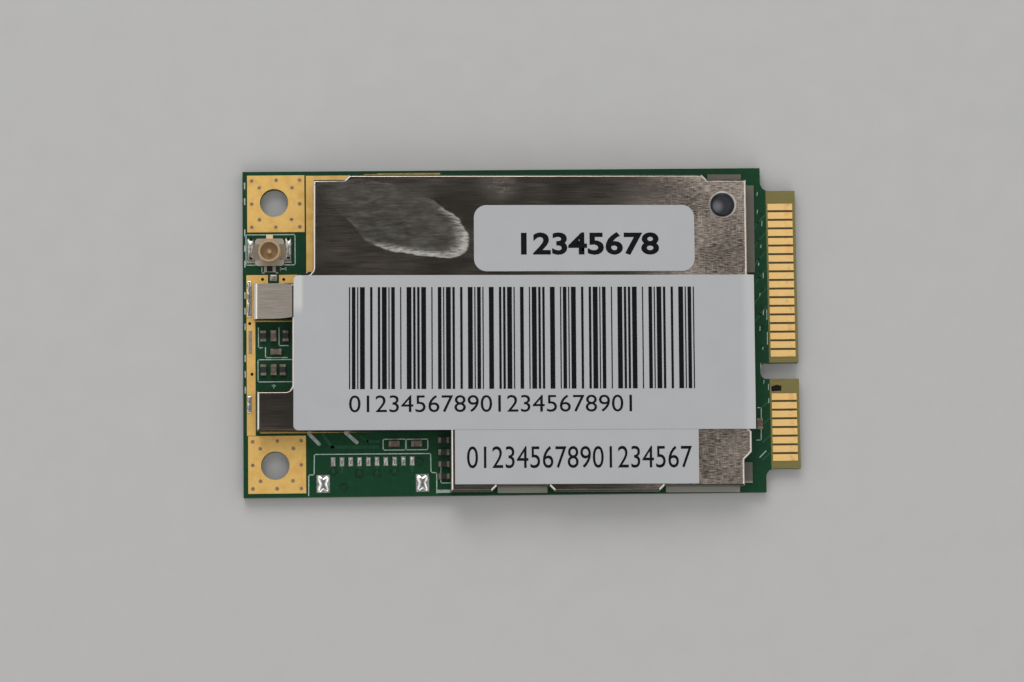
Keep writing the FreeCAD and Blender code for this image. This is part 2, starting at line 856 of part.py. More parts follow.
def make_coax_base():
    body = new_body("coax_base")
    half_x = S.coax_base_width / 2
    half_y = S.coax_base_depth / 2
    block = sketch_in(body, COPPER_TOP)
    draw_outline(block, box_corners(-half_x, half_x, -half_y, half_y))
    add_pad(body, block, S.coax_base_height)
    uprights = upright_edges(body.Shape, box_corners(-half_x, half_x, -half_y, half_y))
    add_chamfer(body, uprights, S.coax_ring_outer - S.coax_ring_inner)
    floor = COPPER_TOP + S.coax_floor
    groove = sketch_in(body, floor)
    draw_circle(groove, (0, 0), S.coax_ring_outer)
    add_pocket(body, groove, S.coax_base_height, along_normal=True)
    boss = sketch_in(body, COPPER_TOP)
    draw_circle(boss, (0, 0), S.coax_ring_inner)
    add_pad(body, boss, S.coax_boss_height)
    legs = sketch_in(body, floor)
    for limits in leg_limits(S.coax_base_width):
        draw_outline(legs, box_corners(*limits))
    add_pocket(body, legs, S.coax_leg_height - S.coax_floor, along_normal=True)
    tail = sketch_in(body, COPPER_TOP)
    half = S.coax_tail_width / 2
    draw_outline(tail, box_corners(-half, half, -S.coax_base_depth, half))
    add_pocket(body, tail, S.coax_floor, along_normal=True)
    pin = sketch_in(body, COPPER_TOP)
    draw_circle(pin, (0, 0), S.coax_pin_radius)
    add_pocket(body, pin, S.coax_boss_height, along_normal=True)
    centred(body, S.coax_place, S.coax_height)


def make_coax_shell():
    body = new_body("coax_shell")
    floor = COPPER_TOP + S.coax_floor
    ring = sketch_in(body, floor)
    draw_circle(ring, (0, 0), S.coax_ring_outer)
    draw_circle(ring, (0, 0), S.coax_ring_inner)
    add_pad(body, ring, S.coax_ring_height - S.coax_floor)
    legs = sketch_in(body, floor)
    for limits in leg_limits(S.coax_leg_reach):
        draw_outline(legs, box_corners(*limits))
    add_pad(body, legs, S.coax_leg_height - S.coax_floor)
    ends = sketch_in(body, COPPER_TOP)
    half = S.coax_leg_width / 2
    for limits in ((-S.coax_leg_reach, -S.coax_base_width / 2, -half, half),
                   (S.coax_base_width / 2, S.coax_leg_reach, -half, half)):
        draw_outline(ends, box_corners(*limits))
    add_pad(body, ends, S.coax_leg_height)
    centred(body, S.coax_place, S.coax_height)


def make_coax_pin():
    body = new_body("coax_pin")
    tail = sketch_in(body, COPPER_TOP)
    half = S.coax_tail_width / 2
    draw_outline(tail, box_corners(-half, half, -S.coax_tail_reach, half))
    add_pad(body, tail, S.coax_floor)
    pin = sketch_in(body, COPPER_TOP)
    draw_circle(pin, (0, 0), S.coax_pin_radius)
    add_pad(body, pin, S.coax_pin_height)
    top = circle_edges(body.Shape, S.coax_pin_radius, COPPER_TOP + S.coax_pin_height)
    add_chamfer(body, top, S.coax_pin_tip)
    centred(body, S.coax_place, S.coax_height)


def make_coax_lands():
    middle = across(S.coax_height)
    half = S.coax_land_height / 2
    left = along(S.coax_land_left)
    right = along(S.coax_land_right)
    place = along(S.coax_place)
    tab = S.coax_tab_width / 2
    signal = S.coax_signal_width / 2
    make_slabs("coax_lands", [
        (left, left + S.coax_land_width, middle - half, middle + half),
        (right - S.coax_land_width, right, middle - half, middle + half),
        (place - tab, place + tab, middle, middle + S.coax_tab_reach),
        (place - signal, place + signal, across(S.coax_signal_low), across(S.coax_signal_high)),
        (along(S.coax_feed_left), along(S.coax_feed_right),
         across(S.coax_feed_low), across(S.coax_feed_high)),
    ], BOARD_TOP, S.copper_thickness)


# Bare footprint on the lower edge: a row of contact lands and two anchor lands
def make_footprint():
    contacts = new_body("footprint_contacts")
    start = along(S.footprint_start)
    half = S.footprint_width / 2
    first = (start - half, start + half, across(S.footprint_low), across(S.footprint_high))
    add_blocks(contacts, [first], BOARD_TOP, S.copper_thickness, "X_Axis",
               S.footprint_pitch, S.footprint_count)
    half = S.anchor_width / 2
    anchors = []
    for place in (S.anchor_one, S.anchor_two):
        anchors.append((along(place) - half, along(place) + half, across(S.anchor_low), across(S.anchor_high)))
    make_slabs("footprint_anchors", anchors, BOARD_TOP, S.copper_thickness)


# Small two-ended chip parts, each a ceramic body between two plated ends
def chip_limits(x, y, upright, low, high, half_wide):
    """Limits of one stretch of a chip part, measured along it from its middle."""
    x = along(x)
    y = across(y)
    if upright:
        return (x - half_wide, x + half_wide, y + low, y + high)
    return (x + low, x + high, y - half_wide, y + half_wide)


def make_chip_parts(name, rows, height, long, wide):
    """Each row has its first part's middle, whether it stands upright, and how it repeats."""
    bodies = new_body(name + "_bodies")
    ends = new_body(name + "_ends")
    half = long / 2
    inner = half - S.chip_end
    half_wide = wide / 2
    for x, y, upright, axis, pitch, count in rows:
        middle = [chip_limits(x, y, upright, -inner, inner, half_wide)]
        add_blocks(bodies, middle, BOARD_TOP, height, axis, pitch, count)
        tips = []
        for low, high in ((-half, -inner), (inner, half)):
            tips.append(chip_limits(x, y, upright, low, high, half_wide + S.chip_end_proud))
        add_blocks(ends, tips, BOARD_TOP, height + S.chip_end_proud, axis, pitch, count)


def lone(x, y, upright):
    return (x, y, upright, "X_Axis", None, None)


def make_open_chip_parts():
    capacitors = [
        lone(S.bay_two, S.bay_top_row, True),
        lone(S.bay_two, S.bay_low_row, True),
        lone(S.bay_middle_place, S.bay_middle_row, False),
        lone(S.edge_pair_one, S.edge_pair_row, False),
        lone(S.edge_pair_two, S.edge_pair_row, False),
        lone(S.side_chip_place, S.side_chip_row, True),
    ]
    resistors = [
        lone(S.bay_one, S.bay_top_row, True),
        lone(S.bay_four, S.bay_top_row, True),
        lone(S.bay_one, S.bay_low_row, True),
        lone(S.bay_three, S.bay_low_row, True),
        (S.step_column, S.step_column_start, False, "Y_Axis", S.step_column_pitch, S.step_column_count),
    ]
    make_chip_parts("open_capacitor", capacitors, S.capacitor_height, S.chip_long, S.chip_wide)
    make_chip_parts("open_resistor", resistors, S.resistor_height, S.chip_long, S.chip_wide)


def make_inner_chip_parts():
    gap = S.inner_row_gap
    lead = (S.inner_row_count - 1) * S.inner_row_pitch / 2
    starts = [
        (S.tuner_place - lead, S.tuner_height - S.tuner_side / 2 - gap),
        (S.demodulator_place - lead, S.demodulator_height + S.demodulator_side / 2 + gap),
        (S.bridge_place - lead, S.bridge_height - S.bridge_side / 2 - S.lead_reach - gap),
        (S.regulator_place + S.regulator_pitch / 2 - lead,
         S.regulator_height + S.regulator_side / 2 + gap),
    ]
    rows = [(x, y, True, "X_Axis", S.inner_row_pitch, S.inner_row_count) for x, y in starts]
    make_chip_parts("inner_capacitor", rows, S.capacitor_height, S.chip_long, S.chip_wide)
    coils = [(S.coil_start, S.coil_row, True, "X_Axis", S.coil_pitch, S.coil_count)]
    make_chip_parts("tuning_coil", coils, S.coil_height, S.coil_long, S.coil_wide)


# Packages under the cover
def make_package(label, x, y, width, depth, level, height):
    """Moulded package with chamfered top edges and a sunk mark at its first pin."""
    body = new_body(label)
    block = sketch_in(body, level)
    draw_outline(block, box_corners(-width / 2, width / 2, -depth / 2, depth / 2))
    add_pad(body, block, height)
    add_chamfer(body, bend_edges(body.Shape), S.package_chamfer)
    mark = sketch_in(body, level + height)
    draw_circle(mark, (S.pin_mark_inset - width / 2, S.pin_mark_inset - depth / 2), S.pin_mark_radius)
    add_pocket(body, mark, S.pin_mark_depth)
    centred(body, x, y)


def make_lands(label, x, y, side, count):
    """Flat terminals round the four sides of a leadless package."""
    body = new_body(label)
    out = side / 2 + S.land_proud
    into = out - S.land_length
    first = -(count - 1) * S.land_pitch / 2
    low = first - S.land_width / 2
    high = first + S.land_width / 2
    sides = [(-out, -into, low, high), (into, out, low, high)]
    ends = [(low, high, -out, -into), (low, high, into, out)]
    add_blocks(body, sides, BOARD_TOP, S.land_thickness, "Y_Axis", S.land_pitch, count)
    add_blocks(body, ends, BOARD_TOP, S.land_thickness, "X_Axis", S.land_pitch, count)
    centred(body, x, y)


def gull_profile(half, exit_level, sheet, reach):
    """Bent lead seen from its side: out of the package, down, and along the board."""
    shoulder = half + S.lead_shoulder
    knee = shoulder + S.lead_slant
    low = BOARD_TOP
    return [
        (half, low + exit_level), (shoulder - sheet / 2, low + exit_level),
        (knee - sheet / 2, low), (half + reach, low), (half + reach, low + sheet),
        (knee + sheet / 2, low + sheet), (shoulder + sheet / 2, low + exit_level + sheet),
        (half, low + exit_level + sheet)]


def mirrored(profile):
    return [(-x, z) for x, z in reversed(profile)]


def add_lead_rows(body, role, profile, width, pitch, count):
    """Both opposite rows of leads, made from one profile on each side."""
    first = -(count - 1) * pitch / 2
    sideways = role == "XZ_Plane"
    level = -(first + width / 2) if sideways else first - width / 2
    sketch = sketch_in(body, level, role)
    draw_outline(sketch, profile)
    draw_outline(sketch, mirrored(profile))
    pad = add_pad(body, sketch, width)
    add_row(body, pad, "Y_Axis" if sideways else "X_Axis", (count - 1) * pitch, count)


def make_bridge():
    level = BOARD_TOP + S.bridge_stand
    make_package("bridge_chip", S.bridge_place, S.bridge_height, S.bridge_side, S.bridge_side,
                 level, S.bridge_thickness)
    body = new_body("bridge_chip_leads")
    profile = gull_profile(S.bridge_side / 2, S.lead_exit, S.lead_sheet, S.lead_reach)
    for role in ("XZ_Plane", "YZ_Plane"):
        add_lead_rows(body, role, profile, S.lead_width, S.lead_pitch, S.lead_count)
    centred(body, S.bridge_place, S.bridge_height)


def make_memory():
    level = BOARD_TOP + S.bridge_stand
    leads = S.bridge_side / 2 + S.lead_reach + S.memory_wide / 2 + S.memory_lead_reach
    height = S.bridge_height + leads + S.memory_clearance
    make_package("memory_chip", S.memory_place, height, S.memory_long, S.memory_wide,
                 level, S.memory_thickness)
    body = new_body("memory_chip_leads")
    profile = gull_profile(
        S.memory_wide / 2, S.memory_lead_exit, S.memory_lead_sheet, S.memory_lead_reach)
    add_lead_rows(body, "YZ_Plane", profile, S.memory_lead_width, S.memory_lead_pitch, S.memory_lead_count)
    centred(body, S.memory_place, height)


def make_crystal(label, x, y):
    """Sealed metal can with round corners."""
    body = new_body(label)
    corners = box_corners(-S.crystal_long / 2, S.crystal_long / 2, -S.crystal_wide / 2, S.crystal_wide / 2)
    sketch = sketch_in(body, BOARD_TOP)
    draw_outline(sketch, corners)
    add_pad(body, sketch, S.crystal_thickness)
    add_fillet(body, upright_edges(body.Shape, corners), S.crystal_radius)
    add_chamfer(body, bend_edges(body.Shape), S.package_chamfer)
    centred(body, x, y)


def make_regulators():
    body = new_body("voltage_regulators")
    half = S.regulator_side / 2
    sketch = sketch_in(body, BOARD_TOP)
    draw_outline(sketch, box_corners(-half, half, -half, half))
    pad = add_pad(body, sketch, S.regulator_thickness)
    add_row(body, pad, "X_Axis", (S.regulator_count - 1) * S.regulator_pitch, S.regulator_count)
    add_chamfer(body, bend_edges(body.Shape), S.package_chamfer)
    centred(body, S.regulator_place, S.regulator_height)


def make_power_inductor():
    body = new_body("power_inductor")
    half = S.inductor_side / 2
    corners = box_corners(-half, half, -half, half)
    sketch = sketch_in(body, BOARD_TOP)
    draw_outline(sketch, corners)
    add_pad(body, sketch, S.inductor_thickness)
    add_chamfer(body, upright_edges(body.Shape, corners), S.inductor_corner)
    add_fillet(body, bend_edges(body.Shape), S.package_chamfer)
    centred(body, S.inductor_place, S.inductor_height)


make_board()
make_fingers("contact_fingers_top", BOARD_TOP, as_size(0))
make_fingers("contact_fingers_bottom", as_size(0), S.finger_pitch / 2)
make_screw_lands("screw_lands_top", BOARD_TOP)
make_screw_lands("screw_lands_bottom", as_size(0))
make_ground_strips()
make_ground_solder()
make_frame()
make_cover()
make_wide_label()
make_label("round_label", S.round_label_left, S.round_label_right,
           S.round_label_low, S.round_label_high, S.round_label_radius)
make_label("narrow_label", S.narrow_label_left, S.narrow_label_right,
           S.narrow_label_low, S.wide_label_low - S.label_gap)
make_coax_base()
make_coax_shell()
make_coax_pin()
make_coax_lands()
make_footprint()
make_open_chip_parts()
make_inner_chip_parts()
make_package("tuner_chip", S.tuner_place, S.tuner_height, S.tuner_side, S.tuner_side,
             BOARD_TOP + S.land_thickness, S.tuner_thickness)
make_lands("tuner_chip_terminals", S.tuner_place, S.tuner_height, S.tuner_side, S.tuner_land_count)
make_package("demodulator_chip", S.demodulator_place, S.demodulator_height,
             S.demodulator_side, S.demodulator_side,
             BOARD_TOP + S.land_thickness, S.demodulator_thickness)
make_lands("demodulator_chip_terminals", S.demodulator_place, S.demodulator_height,
           S.demodulator_side, S.demodulator_land_count)
make_bridge()
make_memory()
make_crystal("tuner_crystal", S.tuner_crystal_place, S.tuner_crystal_height)
make_crystal("bridge_crystal", S.bridge_crystal_place, S.bridge_crystal_height)
make_regulators()
make_power_inductor()

doc.recompute()
for item in doc.Objects:
    if "Invalid" in item.State or "Error" in item.State:
        raise RuntimeError("failed: %s %s" % (item.Label, item.State))
nodes = [item for item in doc.Objects if item.TypeId == "PartDesign::Body"]
for node in nodes:
    if node.Shape.isNull() or not node.Shape.isValid():
        raise RuntimeError("no sound shape: " + node.Label)
for node in nodes:
    node.Shape.exportStep("parts/%s.step" % node.Label)
    print(node.Label, len(node.Shape.Solids), "solids", round(node.Shape.Volume, 3), "cubic mm")
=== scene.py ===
import math
import random
import bmesh
import bpy
from mathutils import Matrix, Vector


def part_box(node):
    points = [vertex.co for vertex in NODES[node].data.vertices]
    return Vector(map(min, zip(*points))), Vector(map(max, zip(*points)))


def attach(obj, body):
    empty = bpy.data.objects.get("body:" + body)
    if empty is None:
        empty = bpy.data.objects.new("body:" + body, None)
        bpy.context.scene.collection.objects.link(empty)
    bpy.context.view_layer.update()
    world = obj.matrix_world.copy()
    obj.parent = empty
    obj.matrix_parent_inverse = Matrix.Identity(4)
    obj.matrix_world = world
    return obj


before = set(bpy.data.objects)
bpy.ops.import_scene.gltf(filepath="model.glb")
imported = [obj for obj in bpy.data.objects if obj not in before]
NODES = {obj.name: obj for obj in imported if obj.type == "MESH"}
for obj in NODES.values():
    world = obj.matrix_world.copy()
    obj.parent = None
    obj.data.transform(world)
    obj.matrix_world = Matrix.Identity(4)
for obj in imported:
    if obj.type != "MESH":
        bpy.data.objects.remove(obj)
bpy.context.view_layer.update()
MM = 0.001

# Levels and limits, read from the frame
BOARD_LOW, BOARD_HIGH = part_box("circuit_board")
MASK_TOP = BOARD_HIGH.z
COPPER_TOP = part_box("coax_lands")[1].z
COVER_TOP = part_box("shield_cover")[1].z
LABEL_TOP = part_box("round_label")[1].z
SHIELD_SKEW = math.radians(-0.4)
INK = 0.006 * MM

# Sockets of a Mix node that mixes colours
MIX_FIRST, MIX_SECOND, MIX_RESULT = 6, 7, 2

# Places where a look changes, in mm from the card's back edge and its lower long edge.
# A spot's reach is where its look begins to fade, and where it has gone.
MASK_END = (48.23, 48.27)
WEAR_RISE = (49.8, 50.15)
WEAR_FALL = (50.3, 50.7)
WORN_FADE = (33.5, 41.8)
SCUFF_SPOT, SCUFF_REACH = (23.6, 28.4), (0.2, 2.6)
CUP_SPOT, CUP_REACH, CUP_RIM_REACH = (44.02, 26.29), (1.08, 1.14), (1.22, 1.28)
CUP_SHINE_SPOT, CUP_SHINE_REACH = (43.57, 26.19), (0.1, 0.75)
EDGE_FEET = (0.9, 1.1)
RING_SPOT, RING_REACH, INSULATOR_REACH = (2.47, 22.5), (1.02, 1.06), (0.8, 0.86)
FEED_FADE = (21.2, 21.35)
GOLD_LAND_SPOT, GOLD_LAND_REACH = (2.45, 24.2), (0.55, 0.6)
LABEL_LEFT_FADE = (5.35, 5.7)
LABEL_LOW_FADE = (16.2, 17.6)
LABEL_RIGHT_FADE = (45.3, 46.4)
RESIDUE_FADE = (6.2, 10.5)
RIM_HEIGHTS = (0.02, 0.066)

# How level a surface is where its look changes: 0 on a wall, 1 on a flat face
CUT_LEVEL = (0.4, 0.6)
BEND_LEVEL = (0.9, 0.985)
WALL_LEVEL = (0.1, 0.3)

# Colours, as linear values
MASK_DARK = (0.0022, 0.026, 0.0095)
MASK_LIGHT = (0.004, 0.046, 0.016)
TRACE_GREEN = (0.006, 0.06, 0.022)
SHADE_GREEN = (0.001, 0.009, 0.0035)
LAMINATE_DARK = (0.1, 0.085, 0.02)
LAMINATE_LIGHT = (0.16, 0.135, 0.035)
FINGER_GAP = (0.045, 0.034, 0.008)
EDGE_DARK = (0.03, 0.05, 0.02)
EDGE_LIGHT = (0.07, 0.085, 0.035)
GOLD_LIGHT = (0.72, 0.46, 0.14)
GOLD_DARK = (0.56, 0.34, 0.09)
DULL_GOLD_LIGHT = (0.3, 0.22, 0.07)
DULL_GOLD_DARK = (0.2, 0.15, 0.05)
FINGER_LIGHT = (0.86, 0.58, 0.23)
FINGER_DARK = (0.74, 0.46, 0.16)
FINGER_WEAR = (0.6, 0.3, 0.12)
SHEET_LIGHT = (0.72, 0.64, 0.55)
SHEET_DARK = (0.16, 0.14, 0.12)
WORN_LIGHT = (0.74, 0.63, 0.54)
WORN_DARK = (0.06, 0.047, 0.039)
# painted highlight on the sheet's bends across the card and on the cup's rim; painted shade on its
# bends along the card and on its walls
BEND_HIGHLIGHT = (0.88, 0.82, 0.75)
LONG_BEND_SHADE = (0.05, 0.046, 0.041)
WALL_SHADE = (0.22, 0.2, 0.175)
# painted shade inside the pressed cup, and the painted sheen on it
CUP_SHADE = (0.07, 0.075, 0.085)
CUP_SHINE = (0.26, 0.27, 0.29)
FOOT_LIGHT = (0.13, 0.117, 0.097)
FOOT_DARK = (0.1, 0.09, 0.072)
EDGE_FOOT_TONE = (0.25, 0.25, 0.215)
PAPER_LIGHT = (0.322, 0.328, 0.333)
PAPER_DARK = (0.292, 0.298, 0.303)
# painted highlight where the wide label lifts and droops
PAPER_HIGHLIGHT = (0.42, 0.42, 0.415)
TIN_LIGHT = (0.7, 0.7, 0.68)
TIN_DARK = (0.42, 0.42, 0.4)
CHIP_END_LIGHT = (0.26, 0.225, 0.175)
CHIP_END_DARK = (0.14, 0.12, 0.09)
SOLDER_LIGHT = (0.86, 0.86, 0.84)
SOLDER_DARK = (0.55, 0.55, 0.53)
DULL_SOLDER_LIGHT = (0.46, 0.45, 0.41)
DULL_SOLDER_DARK = (0.24, 0.235, 0.21)
RESIDUE_DARK = (0.045, 0.042, 0.036)
RESIDUE_LIGHT = (0.13, 0.124, 0.108)
RESIDUE_RIM = (0.34, 0.328, 0.3)
RING_LIGHT = (0.78, 0.57, 0.33)
RING_DARK = (0.56, 0.39, 0.21)
LEG_LIGHT = (0.42, 0.37, 0.3)
LEG_DARK = (0.28, 0.25, 0.2)
FEED_DARK = (0.035, 0.03, 0.027)
BASE_LIGHT = (0.36, 0.32, 0.26)
BASE_DARK = (0.26, 0.23, 0.185)
INSULATOR_LIGHT = (0.34, 0.23, 0.13)
INSULATOR_DARK = (0.22, 0.14, 0.075)
MOULD_LIGHT = (0.03, 0.03, 0.032)
MOULD_DARK = (0.018, 0.018, 0.02)
CAPACITOR_LIGHT = (0.1, 0.065, 0.045)
CAPACITOR_DARK = (0.06, 0.04, 0.028)
RESISTOR_LIGHT = (0.016, 0.015, 0.015)
RESISTOR_DARK = (0.008, 0.008, 0.008)
FERRITE_LIGHT = (0.08, 0.08, 0.085)
FERRITE_DARK = (0.05, 0.05, 0.053)
CAN_LIGHT = (0.7, 0.7, 0.68)
CAN_DARK = (0.55, 0.55, 0.53)
INK_LIGHT = (0.005, 0.005, 0.007)
INK_DARK = (0.003, 0.003, 0.004)
SILK_LIGHT = (0.3, 0.37, 0.33)
SILK_DARK = (0.18, 0.24, 0.2)
SILK_GREY_LIGHT = (0.26, 0.29, 0.28)
SILK_GREY_DARK = (0.16, 0.19, 0.18)
PATCH_LIGHT = (0.2, 0.165, 0.14)
PATCH_DARK = (0.15, 0.12, 0.1)
HOLE_LIGHT = (0.007, 0.007, 0.006)
HOLE_DARK = (0.004, 0.004, 0.003)
HOLE_BROWN_LIGHT = (0.26, 0.15, 0.06)
HOLE_BROWN_DARK = (0.15, 0.085, 0.035)
FLOOR_DARK = (0.335, 0.331, 0.326)
FLOOR_LIGHT = (0.36, 0.356, 0.35)


def at(x, y, z=0.0):
    """Place on the card in metres, from mm off its back edge and its lower long edge."""
    return Vector((BOARD_LOW.x + x * MM, BOARD_LOW.y + y * MM, z))


def turned_at(x, y, z=0.0):
    """The same, on the shield and its labels, which sit a little askew."""
    return Matrix.Rotation(SHIELD_SKEW, 4, "Z") @ at(x, y, z)


# Materials
class Finish:
    """A principled material together with the nodes that vary it over the surface."""

    def __init__(self, name, metallic=0.0, roughness=0.5, **sockets):
        self.material = bpy.data.materials.new(name)
        self.material.use_nodes = True
        self.tree = self.material.node_tree
        self.shader = self.tree.nodes["Principled BSDF"]
        self.shader.inputs["Metallic"].default_value = metallic
        self.shader.inputs["Roughness"].default_value = roughness
        for socket, value in sockets.items():
            self.shader.inputs[socket.replace("_", " ")].default_value = value
        self.place = self.tree.nodes.new("ShaderNodeTexCoord").outputs["Object"]

    def node(self, kind, inputs=(), **settings):
        """New shader node, with its settings made and its inputs fed."""
        node = self.tree.nodes.new("ShaderNode" + kind)
        for key, value in settings.items():
            setattr(node, key, value)
        for socket, value in dict(inputs).items():
            self.feed(node.inputs[socket], value)
        return node

    def feed(self, socket, value):
        """Link another node's output to a socket, or set the socket to a plain value."""
        if isinstance(value, bpy.types.NodeSocket):
            self.tree.links.new(value, socket)
        else:
            socket.default_value = value

    def grain(self, size, detail=3.0, seed=0.0):
        """Noise whose grains are about size (x, y, z) millimetres across."""
        stretch = Vector(1.0 / (MM * length) for length in size)
        scaled = self.node("VectorMath", {0: self.place, 1: stretch}, operation="MULTIPLY")
        shift = {0: scaled.outputs[0], 1: (seed, seed, seed)}
        moved = self.node("VectorMath", shift, operation="ADD")
        inputs = {"Vector": moved.outputs[0], "Scale": 1.0, "Detail": detail}
        return self.node("TexNoise", inputs).outputs["Fac"]

    def span(self, value, low, high, to_low=0.0, to_high=1.0):
        """A value stretched smoothly from one range to another."""
        inputs = {"Value": value, "From Min": low, "From Max": high,
                  "To Min": to_low, "To Max": to_high}
        node = self.node("MapRange", inputs, interpolation_type="SMOOTHSTEP")
        return node.outputs["Result"]

    def axis(self, name):
        return self.node("SeparateXYZ", {0: self.place}).outputs[name]

    def ramp(self, axis, places, to_low=0.0, to_high=1.0):
        """A change between two places, in mm along the card (X) or across it (Y)."""
        low, high = (at(place, place)["XY".index(axis)] for place in places)
        return self.span(self.axis(axis), low, high, to_low, to_high)

    def band(self, value, low, high, soft):
        """One between two limits, nothing outside them."""
        return self.math("MULTIPLY", self.span(value, low - soft, low + soft),
                         self.span(value, high - soft, high + soft, 1.0, 0.0))

    def near(self, spot, reach):
        """One at a spot on the card, and nothing past its reach."""
        level = {0: self.place, 1: (1.0, 1.0, 0.0)}
        flat = self.node("VectorMath", level, operation="MULTIPLY")
        ends = {0: flat.outputs[0], 1: at(*spot)}
        away = self.node("VectorMath", ends, operation="DISTANCE")
        return self.span(away.outputs["Value"], reach[0] * MM, reach[1] * MM, 1.0, 0.0)

    def facing(self, axis):
        """How much the surface faces along an axis, either way."""
        normal = self.node("NewGeometry").outputs["Normal"]
        return self.math("ABSOLUTE", self.node("SeparateXYZ", {0: normal}).outputs[axis])

    def math(self, operation, first, second=0.0):
        return self.node("Math", {0: first, 1: second}, operation=operation).outputs[0]

    def weighed(self, *parts, base=0.0):
        """Sum of values, each times its weight."""
        total = base
        for value, weight in parts:
            total = self.math("ADD", self.math("MULTIPLY", value, weight), total)
        return total

    def blend(self, amount, first, second):
        """From the first colour to the second one, by an amount of 0 to 1."""
        mix = self.node("Mix", data_type="RGBA")
        self.feed(mix.inputs["Factor"], amount)
        for slot, value in ((MIX_FIRST, first), (MIX_SECOND, second)):
            linked = isinstance(value, bpy.types.NodeSocket)
            self.feed(mix.inputs[slot], value if linked else (*value, 1.0))
        return mix.outputs[MIX_RESULT]

    def color(self, value):
        self.feed(self.shader.inputs["Base Color"], value)

    def roughness(self, value):
        self.feed(self.shader.inputs["Roughness"], value)

    def bump(self, height, strength, distance):
        inputs = {"Height": height, "Strength": strength, "Distance": distance * MM}
        self.feed(self.shader.inputs["Normal"], self.node("Bump", inputs).outputs["Normal"])


def solder_mask_finish():
    """Green mask over the laminate, bare and brown on the contact tab and at the cut edges."""
    look = Finish("solder_mask", roughness=0.28, Specular_IOR_Level=0.35)
    weave = look.grain((0.5, 0.5, 0.5), 4.0)
    green = look.blend(weave, MASK_DARK, MASK_LIGHT)
    fibres = look.grain((1.6, 0.12, 0.5), 3.0, 7.0)
    bare = look.blend(fibres, LAMINATE_DARK, LAMINATE_LIGHT)
    bare = look.blend(between_fingers(look), bare, FINGER_GAP)
    tab = look.ramp("X", MASK_END)
    cut = look.span(look.facing("Z"), *CUT_LEVEL, 1.0, 0.0)
    face = look.blend(tab, green, bare)
    edge = look.blend(fibres, EDGE_DARK, EDGE_LIGHT)
    look.color(look.blend(cut, face, edge))
    look.roughness(look.span(look.math("MAXIMUM", tab, cut), 0.0, 1.0, 0.28, 0.6))
    look.bump(weave, 0.25, 0.03)
    return look.material


def between_fingers(look):
    """The strip of laminate under each of the two rows of contacts."""
    low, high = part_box("contact_fingers_top")
    fingers = NODES["contact_fingers_top"].data
    levels = sorted({round(vertex.co.y, 6) for vertex in fingers.vertices})
    gap = max(range(len(levels) - 1), key=lambda number: levels[number + 1] - levels[number])
    soft = 0.03 * MM
    height = look.axis("Y")
    rows = look.math("ADD", look.band(height, levels[0], levels[gap], soft),
                     look.band(height, levels[gap + 1], levels[-1], soft))
    return look.math("MULTIPLY", look.band(look.axis("X"), low.x, high.x, soft), rows)


def gold_finish(name, light, dark, roughness, worn=False):
    """Gold plate; where worn, it is scraped in spots towards the contacts' tips."""
    look = Finish(name, metallic=0.55, roughness=roughness)
    cloud = look.span(look.grain((1.1, 1.1, 1.1), 5.0), 0.3, 0.7)
    tone = look.blend(cloud, dark, light)
    if worn:
        place = look.math("MULTIPLY", look.ramp("X", WEAR_RISE),
                          look.ramp("X", WEAR_FALL, 1.0, 0.0))
        spots = look.span(look.grain((0.5, 0.3, 0.3), 2.0, 4.0), 0.4, 0.75, 0.0, 0.7)
        tone = look.blend(look.math("MULTIPLY", place, spots), tone, FINGER_WEAR)
    look.color(tone)
    look.roughness(look.span(cloud, 0.0, 1.0, roughness + 0.08, roughness - 0.08))
    look.bump(look.grain((0.09, 0.09, 0.09), 2.0, 2.0), 0.2, 0.01)
    return look.material


def sheet_finish():
    """Rolled sheet: fine streaks along the card, mottled and scratched at its contact end; painted
    highlights and painted shade on its bends, walls and pressed cup.
    """
    look = Finish("shield_sheet", metallic=1.0, roughness=0.3)
    streaks = look.grain((3.0, 0.05, 0.4), 4.0)
    short = look.span(look.grain((0.6, 0.05, 0.4), 6.0, 2.0), 0.36, 0.68)
    cross = look.span(look.grain((0.06, 1.2, 0.4), 3.0, 5.0), 0.54, 0.68)
    smudge = look.span(look.grain((6.0, 4.0, 4.0), 3.0, 9.0), 0.35, 0.7)
    worn = look.ramp("X", WORN_FADE)
    scuff = look.math("MULTIPLY", look.near(SCUFF_SPOT, SCUFF_REACH),
                      look.grain((0.7, 0.5, 0.5), 5.0, 4.0))
    mottle = look.weighed((short, 0.75), (cross, 0.35), (smudge, 0.2))
    rolled = look.blend(look.weighed((streaks, 0.75), (scuff, 0.2)), SHEET_DARK, SHEET_LIGHT)
    tone = look.blend(worn, rolled, look.blend(mottle, WORN_DARK, WORN_LIGHT))
    # painted highlight on the bends across the card; painted shade on the bends along it and on the
    # walls
    up = look.facing("Z")
    across = look.math("SUBTRACT", look.facing("X"), look.facing("Y"))
    bend_highlight_and_shade = look.blend(look.span(across, -0.15, 0.0), LONG_BEND_SHADE, BEND_HIGHLIGHT)
    tone = look.blend(look.span(up, *BEND_LEVEL, 1.0, 0.0), tone, bend_highlight_and_shade)
    tone = look.blend(look.span(up, *WALL_LEVEL, 1.0, 0.0), tone, WALL_SHADE)
    # painted shade inside the pressed cup, a painted sheen towards its left, and a painted
    # highlight on its rim
    cup = look.blend(look.near(CUP_SHINE_SPOT, CUP_SHINE_REACH), CUP_SHADE, CUP_SHINE)
    tone = look.blend(look.near(CUP_SPOT, CUP_RIM_REACH), tone, BEND_HIGHLIGHT)
    look.color(look.blend(look.near(CUP_SPOT, CUP_REACH), tone, cup))
    look.roughness(look.weighed((streaks, 0.16), (worn, 0.16), (smudge, 0.05), (scuff, 0.15),
                                base=0.09))
    look.bump(look.weighed((streaks, 0.6), (mottle, 0.3)), 0.2, 0.01)
    return look.material


